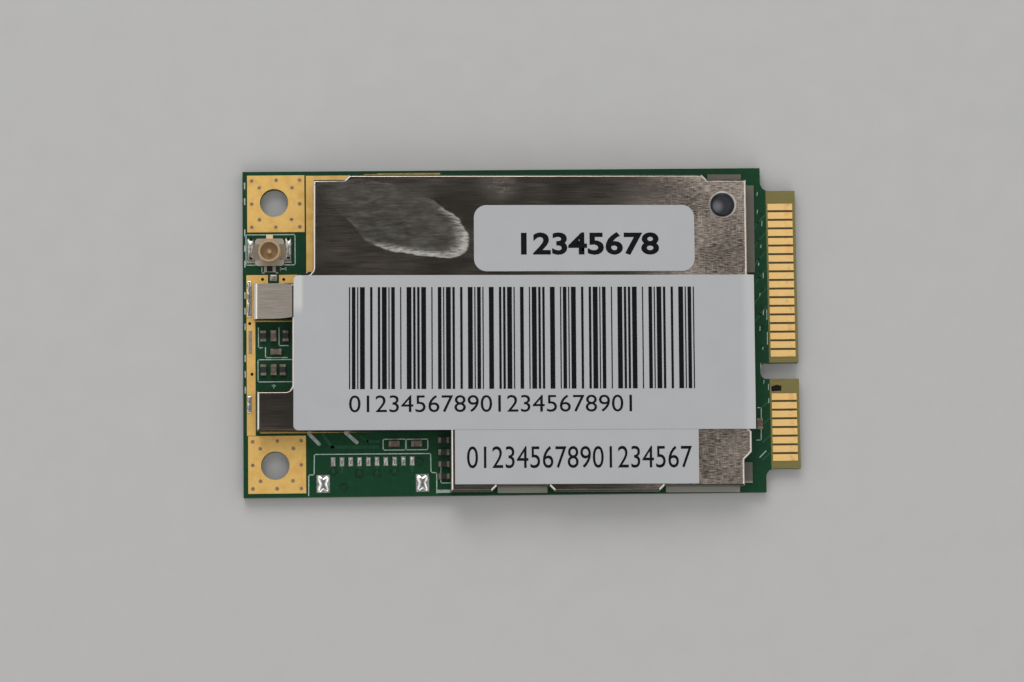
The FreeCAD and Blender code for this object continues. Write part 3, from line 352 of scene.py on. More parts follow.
def foot_finish():
    """Dull tinned sheet of the soldered frame, paler on its feet by the lower edge."""
    look = Finish("frame_sheet", metallic=0.45, roughness=0.5)
    cloud = look.grain((0.8, 0.3, 0.4), 4.0)
    dull = look.blend(cloud, FOOT_DARK, FOOT_LIGHT)
    look.color(look.blend(look.ramp("Y", EDGE_FEET, 1.0, 0.0), dull, EDGE_FOOT_TONE))
    look.bump(cloud, 0.3, 0.01)
    return look.material


def shell_finish():
    """Antenna ring in gold; the legs that run out from it are tinned, and dark at the feed."""
    look = Finish("antenna_shell", metallic=0.75, roughness=0.3)
    cloud = look.grain((0.3, 0.3, 0.3), 3.0)
    gold = look.blend(cloud, RING_DARK, RING_LIGHT)
    leg = look.blend(cloud, LEG_DARK, LEG_LIGHT)
    leg = look.blend(look.ramp("Y", FEED_FADE, 1.0, 0.0), leg, FEED_DARK)
    look.color(look.blend(look.near(RING_SPOT, RING_REACH), leg, gold))
    return look.material


def socket_land_finish():
    """Dull tinned lands of the socket; the one towards the near screw hole is still gold."""
    look = Finish("socket_lands", metallic=0.6, roughness=0.45)
    tin = look.blend(look.grain((0.3, 0.3, 0.3), 3.0), LEG_DARK, LEG_LIGHT)
    look.color(look.blend(look.near(GOLD_LAND_SPOT, GOLD_LAND_REACH), tin, RING_LIGHT))
    return look.material


def base_finish():
    """Pale moulded base, browner on the insulator inside the ring."""
    look = Finish("socket_mould", metallic=0.3, roughness=0.42)
    cloud = look.grain((0.4, 0.4, 0.4), 4.0)
    outer = look.blend(cloud, BASE_DARK, BASE_LIGHT)
    inner = look.blend(cloud, INSULATOR_DARK, INSULATOR_LIGHT)
    look.color(look.blend(look.near(RING_SPOT, INSULATOR_REACH), outer, inner))
    return look.material


def paper_finish():
    """Grey label paper, with a painted highlight where the wide label lifts at its left top and
    droops at right.
    """
    look = Finish("label_paper", roughness=0.6, Specular_IOR_Level=0.3)
    tone = look.blend(look.grain((2.5, 2.5, 2.5), 5.0), PAPER_DARK, PAPER_LIGHT)
    left = look.math("MULTIPLY", look.ramp("X", LABEL_LEFT_FADE, 1.0, 0.0),
                     look.ramp("Y", LABEL_LOW_FADE))
    right = look.ramp("X", LABEL_RIGHT_FADE, 0.0, 0.55)
    look.color(look.blend(look.math("MAXIMUM", left, right), tone, PAPER_HIGHLIGHT))
    fibre = look.grain((0.12, 0.12, 0.12), 4.0, 3.0)
    wave = look.grain((9.0, 5.0, 5.0), 1.0, 6.0)
    look.bump(look.weighed((fibre, 0.05), base=wave), 0.35, 0.12)
    return look.material


def solder_finish(name, light, dark, roughness):
    """Tin or solder with soft ripples."""
    look = Finish(name, metallic=0.9, roughness=roughness)
    cloud = look.span(look.grain((0.35, 0.35, 0.35), 4.0), 0.35, 0.65)
    look.color(look.blend(cloud, dark, light))
    look.bump(look.grain((0.3, 0.3, 0.3), 2.0, 8.0), 0.12, 0.02)
    return look.material


def speckled_finish(name, light, dark, roughness, grain, metallic=0.0, depth=0.01, **sockets):
    """Two close tones in even specks, for moulded, printed and fired surfaces."""
    look = Finish(name, metallic=metallic, roughness=roughness, **sockets)
    cloud = look.grain((grain, grain, grain), 4.0)
    look.color(look.blend(look.span(cloud, 0.35, 0.65), dark, light))
    look.bump(cloud, 0.3, depth)
    return look.material


def residue_finish():
    """Dried clear glue: a grey see-through film, streaky to the left and milky at its rim."""
    look = Finish("glue_residue", roughness=0.3)
    cloud = look.grain((1.6, 0.5, 1.0), 6.0)
    fine = look.grain((0.7, 0.16, 0.3), 4.0, 3.0)
    low, high = (COVER_TOP + height * MM for height in RIM_HEIGHTS)
    thick = look.span(look.axis("Z"), low, high)
    rim = look.math("MULTIPLY", thick, look.span(fine, 0.3, 0.6, 0.6, 1.0))
    film = look.blend(cloud, RESIDUE_DARK, RESIDUE_LIGHT)
    look.color(look.blend(rim, film, RESIDUE_RIM))
    streaks = look.span(look.math("MULTIPLY", cloud, fine), 0.1, 0.4, 0.12, 0.62)
    body = look.math("MULTIPLY", streaks, look.ramp("X", RESIDUE_FADE, 0.35, 1.0))
    look.feed(look.shader.inputs["Alpha"], look.weighed((rim, 0.5), base=body))
    look.bump(look.weighed((fine, 0.5), base=cloud), 0.3, 0.03)
    return look.material


LOOKS = {
    "solder_mask": solder_mask_finish(),
    "gold": gold_finish("gold_lands", GOLD_LIGHT, GOLD_DARK, 0.5),
    "fingers": gold_finish("gold_fingers", FINGER_LIGHT, FINGER_DARK, 0.45, worn=True),
    "ring_gold": gold_finish("ring_gold", RING_LIGHT, RING_DARK, 0.3),
    "dull_gold": speckled_finish("dull_gold", DULL_GOLD_LIGHT, DULL_GOLD_DARK, 0.5, 0.4, 0.3),
    "shell": shell_finish(),
    "sheet": sheet_finish(),
    "foot": foot_finish(),
    "paper": paper_finish(),
    "tin": solder_finish("tin", TIN_LIGHT, TIN_DARK, 0.3),
    "chip_end": solder_finish("chip_end", CHIP_END_LIGHT, CHIP_END_DARK, 0.45),
    "solder": solder_finish("solder", SOLDER_LIGHT, SOLDER_DARK, 0.2),
    "dull_solder": solder_finish("dull_solder", DULL_SOLDER_LIGHT, DULL_SOLDER_DARK, 0.34),
    "moulded": speckled_finish("black_mould", MOULD_LIGHT, MOULD_DARK, 0.55, 0.2),
    "socket": base_finish(),
    "socket_land": socket_land_finish(),
    "capacitor": speckled_finish("capacitor_body", CAPACITOR_LIGHT, CAPACITOR_DARK, 0.5, 0.2),
    "resistor": speckled_finish("resistor_body", RESISTOR_LIGHT, RESISTOR_DARK, 0.4, 0.2),
    "ferrite": speckled_finish("ferrite", FERRITE_LIGHT, FERRITE_DARK, 0.7, 0.15),
    "can": speckled_finish("crystal_can", CAN_LIGHT, CAN_DARK, 0.3, 0.6, 1.0, 0.005),
    "ink": speckled_finish("print_ink", INK_LIGHT, INK_DARK, 0.8, 0.25,
                           Specular_IOR_Level=0.1),
    "silk": speckled_finish("silk_ink", SILK_LIGHT, SILK_DARK, 0.6, 0.18),
    "silk_grey": speckled_finish("silk_grey", SILK_GREY_LIGHT, SILK_GREY_DARK, 0.6, 0.3),
    "patch_grey": speckled_finish("patch_grey", PATCH_LIGHT, PATCH_DARK, 0.6, 0.3),
    "trace": speckled_finish("trace_green", TRACE_GREEN, MASK_LIGHT, 0.3, 0.4),
    "shade": speckled_finish("shade_green", SHADE_GREEN, MASK_DARK, 0.3, 0.4),
    "dark": speckled_finish("hole_dark", HOLE_LIGHT, HOLE_DARK, 0.7, 0.2,
                            Specular_IOR_Level=0.1),
    "hole_brown": speckled_finish("hole_brown", HOLE_BROWN_LIGHT, HOLE_BROWN_DARK, 0.5, 0.15,
                                  0.3),
    "residue": residue_finish(),
}

NODE_LOOKS = {
    "circuit_board": "solder_mask",
    "contact_fingers_top": "fingers", "contact_fingers_bottom": "fingers",
    "screw_lands_top": "gold", "screw_lands_bottom": "gold", "ground_strips": "gold",
    "ground_solder": "solder",
    "shield_cover": "sheet", "shield_frame": "foot",
    "wide_label": "paper", "round_label": "paper", "narrow_label": "paper",
    "coax_base": "socket", "coax_lands": "socket_land",
    "coax_shell": "shell", "coax_pin": "shell",
    "footprint_contacts": "tin", "footprint_anchors": "tin",
    "open_capacitor_bodies": "capacitor", "open_capacitor_ends": "chip_end",
    "open_resistor_bodies": "resistor", "open_resistor_ends": "chip_end",
    "inner_capacitor_bodies": "capacitor", "inner_capacitor_ends": "tin",
    "tuning_coil_bodies": "resistor", "tuning_coil_ends": "tin",
    "tuner_chip": "moulded", "tuner_chip_terminals": "tin",
    "demodulator_chip": "moulded", "demodulator_chip_terminals": "tin",
    "bridge_chip": "moulded", "bridge_chip_leads": "tin",
    "memory_chip": "moulded", "memory_chip_leads": "tin",
    "tuner_crystal": "can", "bridge_crystal": "can",
    "voltage_regulators": "moulded", "power_inductor": "ferrite",
}
for name, look in NODE_LOOKS.items():
    mesh = NODES[name].data
    mesh.materials.clear()
    mesh.materials.append(LOOKS[look])


def soften(names, width, segments=2):
    """Small round on the sharp edges of CAD nodes."""
    for name in names:
        bevel = NODES[name].modifiers.new("edge_round", "BEVEL")
        bevel.width = width * MM
        bevel.segments = segments
        bevel.limit_method = "ANGLE"
        bevel.angle_limit = math.radians(40)


soften(["open_capacitor_bodies", "open_capacitor_ends",
        "open_resistor_bodies", "open_resistor_ends"], 0.035)
soften(["contact_fingers_top", "contact_fingers_bottom"], 0.015, 1)


# New pieces
def add_object(name, data):
    """New object in the scene that shows a mesh, text, lamp or camera."""
    thing = bpy.data.objects.new(name, data)
    bpy.context.scene.collection.objects.link(thing)
    return thing


def piece_from(name, mesh_maker, look, smooth=False):
    """New piece made by mesh code, riding on the card."""
    mesh = bpy.data.meshes.new(name)
    work = bmesh.new()
    mesh_maker(work)
    bmesh.ops.recalc_face_normals(work, faces=work.faces)
    work.to_mesh(mesh)
    work.free()
    for face in mesh.polygons:
        face.use_smooth = smooth
    mesh.materials.append(LOOKS[look])
    piece = add_object(name, mesh)
    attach(piece, "root")


def slab(work, outline, low, high):
    """Closed prism between two levels over an outline of places."""
    bottom = [work.verts.new((point.x, point.y, low)) for point in outline]
    top = [work.verts.new((point.x, point.y, high)) for point in outline]
    work.faces.new(top)
    work.faces.new(bottom[::-1])
    count = len(outline)
    for number in range(count):
        after = (number + 1) % count
        work.faces.new((bottom[number], bottom[after], top[after], top[number]))


def join_loops(work, near, far):
    """Faces between two closed loops of as many points."""
    for step in range(len(near)):
        after = (step + 1) % len(near)
        work.faces.new((near[step], near[after], far[after], far[step]))


def box_outline(x_low, x_high, y_low, y_high, place=at):
    """Corners of a rectangle on the card, or askew like the shield."""
    return [place(x_low, y_low), place(x_high, y_low), place(x_high, y_high), place(x_low, y_high)]


def line_outline(start, end, width, round_ends=0):
    """Outline of a straight printed line between two places on the card."""
    a, b = at(*start), at(*end)
    along = (b - a).normalized() * (width / 2 * MM)
    side = Vector((-along.y, along.x, 0))
    if not round_ends:
        return [a - along - side, b + along - side, b + along + side, a - along + side]
    points = []
    for centre, first in ((b, -math.pi / 2), (a, math.pi / 2)):
        for step in range(round_ends + 1):
            angle = first + math.pi * step / round_ends
            points.append(centre + along * math.cos(angle) + side * math.sin(angle))
    return points


def circle(centre, radius, count):
    """Places round a spot on the card."""
    middle = at(*centre)
    turns = (2 * math.pi * step / count for step in range(count))
    return [middle + Vector((math.cos(a), math.sin(a), 0)) * (radius * MM) for a in turns]


def disc(work, centre, radius, low, high, count=16):
    """Flat round plate."""
    slab(work, circle(centre, radius, count), low, high)


def ring(work, centre, inner, outer, low, high, count=20):
    """Flat ring with an open middle."""
    loops = []
    for radius, level in ((inner, low), (inner, high), (outer, high), (outer, low)):
        loops.append([work.verts.new((point.x, point.y, level))
                      for point in circle(centre, radius, count)])
    for near, far in zip(loops, loops[1:] + loops[:1]):
        join_loops(work, near, far)


def path_lines(work, points, width, low, high, closed=False):
    """Straight printed lines from each point to the next."""
    pairs = list(zip(points, points[1:]))
    if closed:
        pairs.append((points[-1], points[0]))
    for start, end in pairs:
        slab(work, line_outline(start, end, width), low, high)


# White print on the solder mask
SILK_WIDTH = 0.09
SILK_LEVEL = MASK_TOP + 2 * INK
SILK_BOXES = (
    ((0.31, 21.35), (4.8, 21.35), (4.8, 24.15), (0.31, 24.15)),
    ((1.36, 10.58), (4.6, 10.58), (4.6, 12.62), (1.36, 12.62)),
    ((12.72, 4.22), (14.77, 4.22), (14.77, 5.21), (12.72, 5.21)),
    ((14.83, 4.22), (16.8, 4.22), (16.8, 5.19), (14.83, 5.19)),
)
SILK_PATHS = (
    ((1.41, 15.54), (1.41, 13.72), (1.75, 13.72)),
    ((3.29, 15.53), (3.29, 13.9), (4.1, 13.9)),
    ((2.05, 13.72), (2.05, 12.8), (4.0, 12.8)),
    ((5.91, 0.15), (5.93, 2.02), (6.42, 2.02), (6.45, 3.89), (17.05, 3.86), (17.07, 2.13),
     (17.59, 2.1), (17.57, 0.25)),
    ((17.97, 2.98), (17.95, 1.16), (18.9, 1.15)),
    ((1.75, 21.15), (1.75, 20.62), (1.95, 20.62)),
    ((2.98, 21.15), (2.98, 20.62), (3.2, 20.62)),
    ((47.1, 7.76), (47.42, 7.76), (47.35, 4.78), (46.95, 4.78)),
    ((3.45, 20.98), (3.95, 20.98)),
    ((2.66, 10.22), (2.92, 10.22)),
    ((2.79, 10.3), (2.79, 10.02)),
    ((47.2, 3.2), (47.75, 3.75)),
    ((3.45, 20.88), (3.45, 21.08)),
    ((3.95, 20.88), (3.95, 21.08)),
)
DASH_STEPS = 14
DASH_SPOT = (0.2, 9.6)
DASH_PITCH = 1.45
DASH_LONG = 0.5
DASH_WIDTH = 0.12


def draw_silk(work):
    for points in SILK_BOXES:
        path_lines(work, points, SILK_WIDTH, MASK_TOP, SILK_LEVEL, closed=True)
    for points in SILK_PATHS:
        path_lines(work, points, SILK_WIDTH, MASK_TOP, SILK_LEVEL)
    x, first = DASH_SPOT
    for step in range(DASH_STEPS):
        low = first + step * DASH_PITCH
        # every fourth dash is missing
        if step % 4 != 3:
            dash = line_outline((x, low), (x, low + DASH_LONG), DASH_WIDTH)
            slab(work, dash, MASK_TOP, SILK_LEVEL)


GREY_BARS = (((5.98, 5.77), (6.88, 4.84)), ((9.35, 5.82), (10.34, 4.94)))
GREY_BAR_WIDTH = 0.32
GREY_DASH = ((17.75, 0.4), (18.7, 0.4))
GREY_DASH_WIDTH = 0.28
# left, right, low and high side
PATCH_BOX = (0.51, 0.84, 13.16, 15.28)
EDGE_GOLD_BOXES = ((12.4, 18.2, 29.62, 29.78), (11.2, 12.4, 29.5, 29.72))


def draw_grey_bars(work):
    level = MASK_TOP + 3 * INK
    for start, end in GREY_BARS:
        slab(work, line_outline(start, end, GREY_BAR_WIDTH, round_ends=8), MASK_TOP, level)
    slab(work, line_outline(*GREY_DASH, GREY_DASH_WIDTH), MASK_TOP, level)


def draw_patch(work):
    slab(work, box_outline(*PATCH_BOX), COPPER_TOP, COPPER_TOP + INK)


def draw_edge_gold(work):
    for sides in EDGE_GOLD_BOXES:
        slab(work, box_outline(*sides), MASK_TOP, MASK_TOP + 2 * INK)


piece_from("silkscreen", draw_silk, "silk")
piece_from("grey_marks", draw_grey_bars, "silk_grey")
piece_from("strip_patch", draw_patch, "patch_grey")
piece_from("edge_gold", draw_edge_gold, "dull_gold")

# Copper that shows through the mask, and covered holes
FIRST_CONTACT_X = 8.16
CONTACT_PITCH = 0.8
# rows of like traces by the tab: their points, how far up the first lies, their pitch and count
TRACE_ROWS = (
    (((46.9, -2.2), (47.5, -1.3), (48.2, -0.55)), 26.2, 1.7, 6),
    (((47.5, -0.6), (48.2, 0.0)), 8.4, 1.6, 4),
)
TRACE_WIDTH = 0.16
# single traces with their widths
WIDE_TRACES = (
    (((7.3, 5.6), (8.1, 4.55), (12.2, 4.5)), 0.3),
    (((10.7, 5.5), (11.3, 5.05), (12.3, 5.0)), 0.2),
)
# short traces that run from some of the footprint's contacts
TRACED_CONTACTS = (0, 1, 3, 5, 7, 9)
CONTACT_TRACE_ENDS = (2.85, 2.3)
CONTACT_TRACE_WIDTH = 0.22
TENTED = ((8.16, 2.32), (10.52, 2.11), (12.14, 2.09), (13.73, 2.26), (16.02, 3.12), (9.12, 0.87))
TENTED_RADII = (0.24, 0.42)
SMALL_TENTED = [(47.6 + 0.1 * (step % 2), 27.4 - 1.75 * step) for step in range(9)]
SMALL_TENTED_RADII = (0.1, 0.2)
# how far up each long speck starts, and its length
LONG_SPECKS = ((13.6, 1.1), (15.9, 0.9), (9.4, 0.5), (8.2, 0.4))
SPECK_WIDTH = 0.07


def draw_traces(work):
    level = MASK_TOP + 2 * INK
    for points, first, pitch, count in TRACE_ROWS:
        for step in range(count):
            row = [(x, first - step * pitch + y) for x, y in points]
            path_lines(work, row, TRACE_WIDTH, MASK_TOP, level)
    for points, width in WIDE_TRACES:
        path_lines(work, points, width, MASK_TOP, level)
    for number in TRACED_CONTACTS:
        x = FIRST_CONTACT_X + CONTACT_PITCH * number
        points = [(x, y) for y in CONTACT_TRACE_ENDS]
        path_lines(work, points, CONTACT_TRACE_WIDTH, MASK_TOP, level)


def draw_tented(work):
    level = MASK_TOP + 2.5 * INK
    for spot in TENTED:
        ring(work, spot, *TENTED_RADII, MASK_TOP, level)
    for spot in SMALL_TENTED:
        ring(work, spot, *SMALL_TENTED_RADII, MASK_TOP, level, count=12)


def draw_specks(work):
    """Small bright rims where covered holes catch the light beside the contacts."""
    rng = random.Random(4)
    specks = []
    for step in range(12):
        y = 27.6 - step * 1.62 + rng.uniform(-0.3, 0.3)
        x = 47.5 + rng.uniform(-0.1, 0.45)
        specks.append(((x, y), (x + 0.03, y + rng.uniform(0.15, 0.5))))
    for y, long in LONG_SPECKS:
        specks.append(((48.12, y), (48.13, y + long)))
    for start, end in specks:
        outline = line_outline(start, end, SPECK_WIDTH, round_ends=4)
        slab(work, outline, MASK_TOP, MASK_TOP + 3 * INK)


piece_from("covered_traces", draw_traces, "trace")
piece_from("covered_holes", draw_tented, "shade")
piece_from("bright_specks", draw_specks, "silk")

# Plated holes round the two screw holes, and open ones
LAND_HOLES = ((-2.2, 2.15), (0.05, 2.2), (2.2, 2.2), (-1.5, 1.5), (1.5, 1.5), (-2.2, 0.0),
              (2.2, 0.0), (-1.5, -1.45), (1.45, -1.45), (-2.2, -2.15), (0.0, -2.15), (2.2, -2.15))
LAND_HOLE_RADII = (0.16, 0.21)
LAND_FILL_RADIUS = 0.17
SCREW_HOLES = ((3.05, 27.0), (3.05, 2.95))
OPEN_HOLES = ((0.81, 11.29), (1.81, 20.02), (3.75, 20.0), (0.62, 15.95))
SOCKET_HOLES = ((0.81, 23.7), (4.21, 23.68), (0.76, 21.95), (4.2, 21.98))
TAB_MARK = ((48.4, 9.25), (49.3, 9.3), (49.32, 9.75), (48.9, 9.85), (48.4, 9.7))
HOLE_RADIUS = 0.14
# high enough to show through the solder beside the socket
SOCKET_HOLE_TOP = COPPER_TOP + 0.235 * MM


def land_hole_spots():
    """Places of the plated holes in both screw lands."""
    for middle_x, middle_y in SCREW_HOLES:
        for x, y in LAND_HOLES:
            yield (middle_x + x, middle_y + y)


def draw_hole_rims(work):
    for spot in land_hole_spots():
        ring(work, spot, *LAND_HOLE_RADII, COPPER_TOP, COPPER_TOP + 2 * INK, count=16)


def draw_hole_fills(work):
    for spot in land_hole_spots():
        disc(work, spot, LAND_FILL_RADIUS, COPPER_TOP, COPPER_TOP + INK)


def draw_open_holes(work):
    # the dark discs are painted shade for the insides of the open holes and of the holes beside the
    # socket
    for spot in OPEN_HOLES:
        disc(work, spot, HOLE_RADIUS, COPPER_TOP, COPPER_TOP + 2 * INK)
    for spot in SOCKET_HOLES:
        disc(work, spot, HOLE_RADIUS, MASK_TOP, SOCKET_HOLE_TOP)
    slab(work, [at(*spot) for spot in TAB_MARK], MASK_TOP, MASK_TOP + 2 * INK)


piece_from("land_hole_rims", draw_hole_rims, "ring_gold")
piece_from("land_hole_fills", draw_hole_fills, "hole_brown")
piece_from("open_holes", draw_open_holes, "dark")


# Solder that has wetted the bare lands
def mound(work, centre, size, height, power=2.4, pinch=0.0, seed=0, steps=8, turns=28):
    """Low dome over a rounded rectangle; pinch draws its sides in between the corners."""
    rng = random.Random(seed)
    phase = [rng.uniform(0, 2 * math.pi) for _ in range(3)]
    middle = at(*centre)
    loops = []
    for step in range(steps):
        reach = math.cos(math.pi / 2 * step / steps)
        rise = math.sin(math.pi / 2 * step / steps)
        loop = []
        for turn in range(turns):
            angle = 2 * math.pi * turn / turns
            cx, cy = math.cos(angle), math.sin(angle)
            unit = (abs(cx) ** power + abs(cy) ** power) ** (-1.0 / power)
            wave = (1.0 + 0.04 * math.sin(3 * angle + phase[0])
                    + 0.03 * math.sin(5 * angle + phase[1]))
            sides = 1.0 - pinch * (1.0 - abs(math.sin(2 * angle))) * reach
            x = size[0] / 2 * unit * cx * reach * wave * sides
            y = size[1] / 2 * unit * cy * reach * wave * sides
            loop.append(work.verts.new((middle.x + x * MM, middle.y + y * MM,
                                        COPPER_TOP + height * rise * MM)))
        loops.append(loop)
    for near, far in zip(loops, loops[1:]):
        join_loops(work, near, far)
    peak = work.verts.new((middle.x, middle.y, COPPER_TOP + height * MM))
    for turn in range(turns):
        work.faces.new((loops[-1][turn], loops[-1][(turn + 1) % turns], peak))
    work.faces.new(loops[0][::-1])


ANCHORS = ((7.24, 1.2), (16.28, 1.2))
ANCHOR_SIZE, ANCHOR_HEIGHT = (1.16, 1.62), 0.2
CONTACT_Y = 3.19
CONTACT_SIZE, CONTACT_HEIGHT = (0.4, 0.78), 0.1
# place along the card of the solder on each side of the socket, with its seed
SOCKET_SIDES = ((0.72, 31), (4.2, 32))
SOCKET_SIDE_Y = 22.78
SOCKET_SIDE_SIZE, SOCKET_SIDE_HEIGHT = (0.72, 2.2), 0.32
# low and high end of each spot along the card's back edge, with its seed
EDGE_SPOTS = ((16.6, 18.1, 41), (17.9, 19.0, 42), (18.8, 19.9, 43), (7.8, 8.7, 44), (8.5, 9.35, 45))
EDGE_X = 0.54
EDGE_SPOT_WIDTH, EDGE_SPOT_HEIGHT = 0.34, 0.17
# place, size, height, corners and seed of the two drops beside the cover
DROPS = (((5.9, 20.6), (0.3, 0.26), 0.12, 2.2, 71), ((46.9, 20.9), (0.16, 0.8), 0.12, 2.6, 72))


def draw_anchor_solder(work):
    for seed, centre in enumerate(ANCHORS, 1):
        mound(work, centre, ANCHOR_SIZE, ANCHOR_HEIGHT, power=5.0, pinch=0.32, seed=seed)


def draw_contact_solder(work):
    for number in range(10):
        centre = (FIRST_CONTACT_X + CONTACT_PITCH * number, CONTACT_Y)
        mound(work, centre, CONTACT_SIZE, CONTACT_HEIGHT, power=4.0, pinch=0.12,
              seed=number + 10, steps=5, turns=20)


def draw_socket_solder(work):
    for x, seed in SOCKET_SIDES:
        mound(work, (x, SOCKET_SIDE_Y), SOCKET_SIDE_SIZE, SOCKET_SIDE_HEIGHT, power=5.0,
              pinch=0.1, seed=seed, steps=10, turns=36)


def draw_edge_solder(work):
    mound(work, (2.81, 20.15), (0.6, 0.55), 0.04, power=6.0, seed=34)
    for low, high, seed in EDGE_SPOTS:
        mound(work, (EDGE_X, (low + high) / 2), (EDGE_SPOT_WIDTH, high - low),
              EDGE_SPOT_HEIGHT, power=2.6, seed=seed, steps=5, turns=18)
    for centre, size, height, power, seed in DROPS:
        mound(work, centre, size, height, power=power, seed=seed, steps=5, turns=18)


piece_from("anchor_solder", draw_anchor_solder, "solder", smooth=True)
piece_from("contact_solder", draw_contact_solder, "dull_solder", smooth=True)
piece_from("socket_solder", draw_socket_solder, "dull_solder", smooth=True)
piece_from("edge_solder", draw_edge_solder, "dull_solder", smooth=True)

# Print on the labels: counting digits and plain bars that stand for nothing
BARS_LEFT, BARS_RIGHT = 9.73, 41.55
BARS_LOW, BARS_HIGH = 9.5, 18.83
LAST_BAR = 41.4
BAR_STEP = 0.11
LEAST_GAP = 0.15
# name, digits, the space they fill along the card and across it, and extra weight of the strokes
LABEL_DIGITS = (
    ("wide_label_digits", "0123456789012345678901", (9.73, 35.43), (7.39, 8.94), 0.0),
    ("round_label_digits", "12345678", (25.42, 38.06), (21.75, 23.87), 0.03),
    ("narrow_label_digits", "012345678901234567", (20.4, 40.84), (2.27, 4.27), 0.0),
)


def draw_bars(work):
    x = BARS_LEFT
    number = 0
    while x < LAST_BAR:
        width = BAR_STEP + BAR_STEP * ((number * 5 + number * number) % 7 % 4)
        gap = LEAST_GAP + BAR_STEP * ((number * 3 + number * number) % 5 % 4)
        width = min(width, BARS_RIGHT - x)
        bar = box_outline(x, x + width, BARS_LOW, BARS_HIGH, turned_at)
        slab(work, bar, LABEL_TOP, LABEL_TOP + INK)
        x += width + gap
        number += 1


def fitted(values, space):
    """Values moved and stretched so that they fill a space."""
    low, high = min(values), max(values)
    return [space[0] + (value - low) / (high - low) * (space[1] - space[0]) for value in values]


def digits(name, text, along, across, weight):
    """Plain digits stretched into their space on a label, as a mesh just above it."""
    curve = bpy.data.curves.new(name, "FONT")
    curve.body = text
    curve.offset = weight
    curve.resolution_u = 4
    flat = add_object(name + "_text", curve)
    bpy.context.view_layer.update()
    mesh = bpy.data.meshes.new_from_object(flat)
    bpy.data.objects.remove(flat)
    xs = fitted([vertex.co.x for vertex in mesh.vertices], along)
    ys = fitted([vertex.co.y for vertex in mesh.vertices], across)
    for vertex, x, y in zip(mesh.vertices, xs, ys):
        vertex.co = turned_at(x, y, LABEL_TOP + INK)
    mesh.materials.clear()
    mesh.materials.append(LOOKS["ink"])
    piece = add_object(name, mesh)
    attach(piece, "root")


piece_from("label_bars", draw_bars, "ink")
for line in LABEL_DIGITS:
    digits(*line)

# Dried glue on the cover: its outline, and how far out and how high each loop of it lies
RESIDUE = ((7.01, 28.7), (9.47, 28.85), (12.4, 28.7), (15.4, 27.86), (18.12, 26.45),
           (19.8, 25.2), (20.75, 23.66), (20.63, 22.28), (19.44, 21.55), (17.16, 21.66),
           (15.1, 21.95), (13.07, 22.34), (11.25, 23.28), (9.9, 24.95), (8.08, 26.53),
           (6.9, 27.9))
RESIDUE_PROFILE = ((1.0, 0.006), (0.985, 0.05), (0.96, 0.07), (0.91, 0.062), (0.84, 0.045),
                   (0.76, 0.03), (0.66, 0.018), (0.4, 0.014), (0.2, 0.014))
FILM_HEIGHT = 0.02


def residue_outline():
    """Smooth closed curve through the outline's points, a little ragged at its upper right."""
    rng = random.Random(3)
    outline = []
    count = len(RESIDUE)
    for number in range(count):
        p0, p1, p2, p3 = (Vector(RESIDUE[(number + step) % count]) for step in (-1, 0, 1, 2))
        for step in range(6):
            t = step / 6
            outline.append(0.5 * (2 * p1 + (p2 - p0) * t
                                  + (2 * p0 - 5 * p1 + 4 * p2 - p3) * t * t
                                  + (3 * p1 - p0 - 3 * p2 + p3) * t ** 3))
    centre = sum(outline, Vector((0, 0))) / len(outline)
    for number, point in enumerate(outline):
        ragged = 1.6 if point.y > 25.3 + 0.25 * (15.0 - point.x) else 0.4
        wave = (0.06 * math.sin(0.9 * number) + 0.05 * math.sin(2.3 * number + 1)
                + rng.uniform(-0.02, 0.02))
        point += (point - centre).normalized() * (wave * ragged)
    return outline, centre


def draw_residue(work):
    """Thin film with a thick uneven rim along its lower and right edges."""
    outline, centre = residue_outline()
    loops = []
    for scale, rise in RESIDUE_PROFILE:
        loop = []
        for point in outline:
            spot = centre + (point - centre) * scale
            side = (point - centre).normalized()
            rim = 0.3 + 0.7 * max(0.0, min(1.0, 0.15 - side.y * 0.9 + side.x * 0.5))
            rise_here = rise * rim if rise > FILM_HEIGHT else rise
            loop.append(work.verts.new(at(spot.x, spot.y, COVER_TOP + rise_here * MM)))
        loops.append(loop)
    for near, far in zip(loops, loops[1:]):
        join_loops(work, near, far)
    work.faces.new(loops[-1])


piece_from("glue_residue", draw_residue, "residue", smooth=True)

# Floor, under the copper of the card's underside
FLOOR_HALF = 1.2
UNDERSIDE_COPPER = 0.045
floor_look = Finish("floor", roughness=0.8)
floor_look.color(floor_look.blend(floor_look.grain((3.0, 3.0, 3.0), 6.0), FLOOR_DARK, FLOOR_LIGHT))
floor_mesh = bpy.data.meshes.new("floor")
floor_corners = [(-FLOOR_HALF, -FLOOR_HALF, 0), (FLOOR_HALF, -FLOOR_HALF, 0),
                 (FLOOR_HALF, FLOOR_HALF, 0), (-FLOOR_HALF, FLOOR_HALF, 0)]
floor_mesh.from_pydata(floor_corners, [], [(0, 1, 2, 3)])
floor_mesh.materials.append(floor_look.material)
floor = add_object("floor", floor_mesh)
floor.location.z = BOARD_LOW.z - UNDERSIDE_COPPER * MM

# Light: plain to the eye, and a studio with dark and bright parts for what mirrors it
SIDE_STOPS = ((0.0, 0.0), (0.15, 0.0), (0.25, 0.4), (0.5, 0.8), (1.0, 1.0))
SIDE_HEIGHT_STOPS = ((0.0, 0.3), (0.45, 0.34), (0.68, 1.0))
HEIGHT_STOPS = ((0.0, 0.16), (0.5, 0.2), (0.85, 0.09), (0.96, 0.02))
MIRROR_STRENGTH = 1.6
PLAIN_STRENGTH = 0.88

world = bpy.data.worlds.new("studio")
bpy.context.scene.world = world
world.use_nodes = True
tree = world.node_tree
tree.nodes.clear()


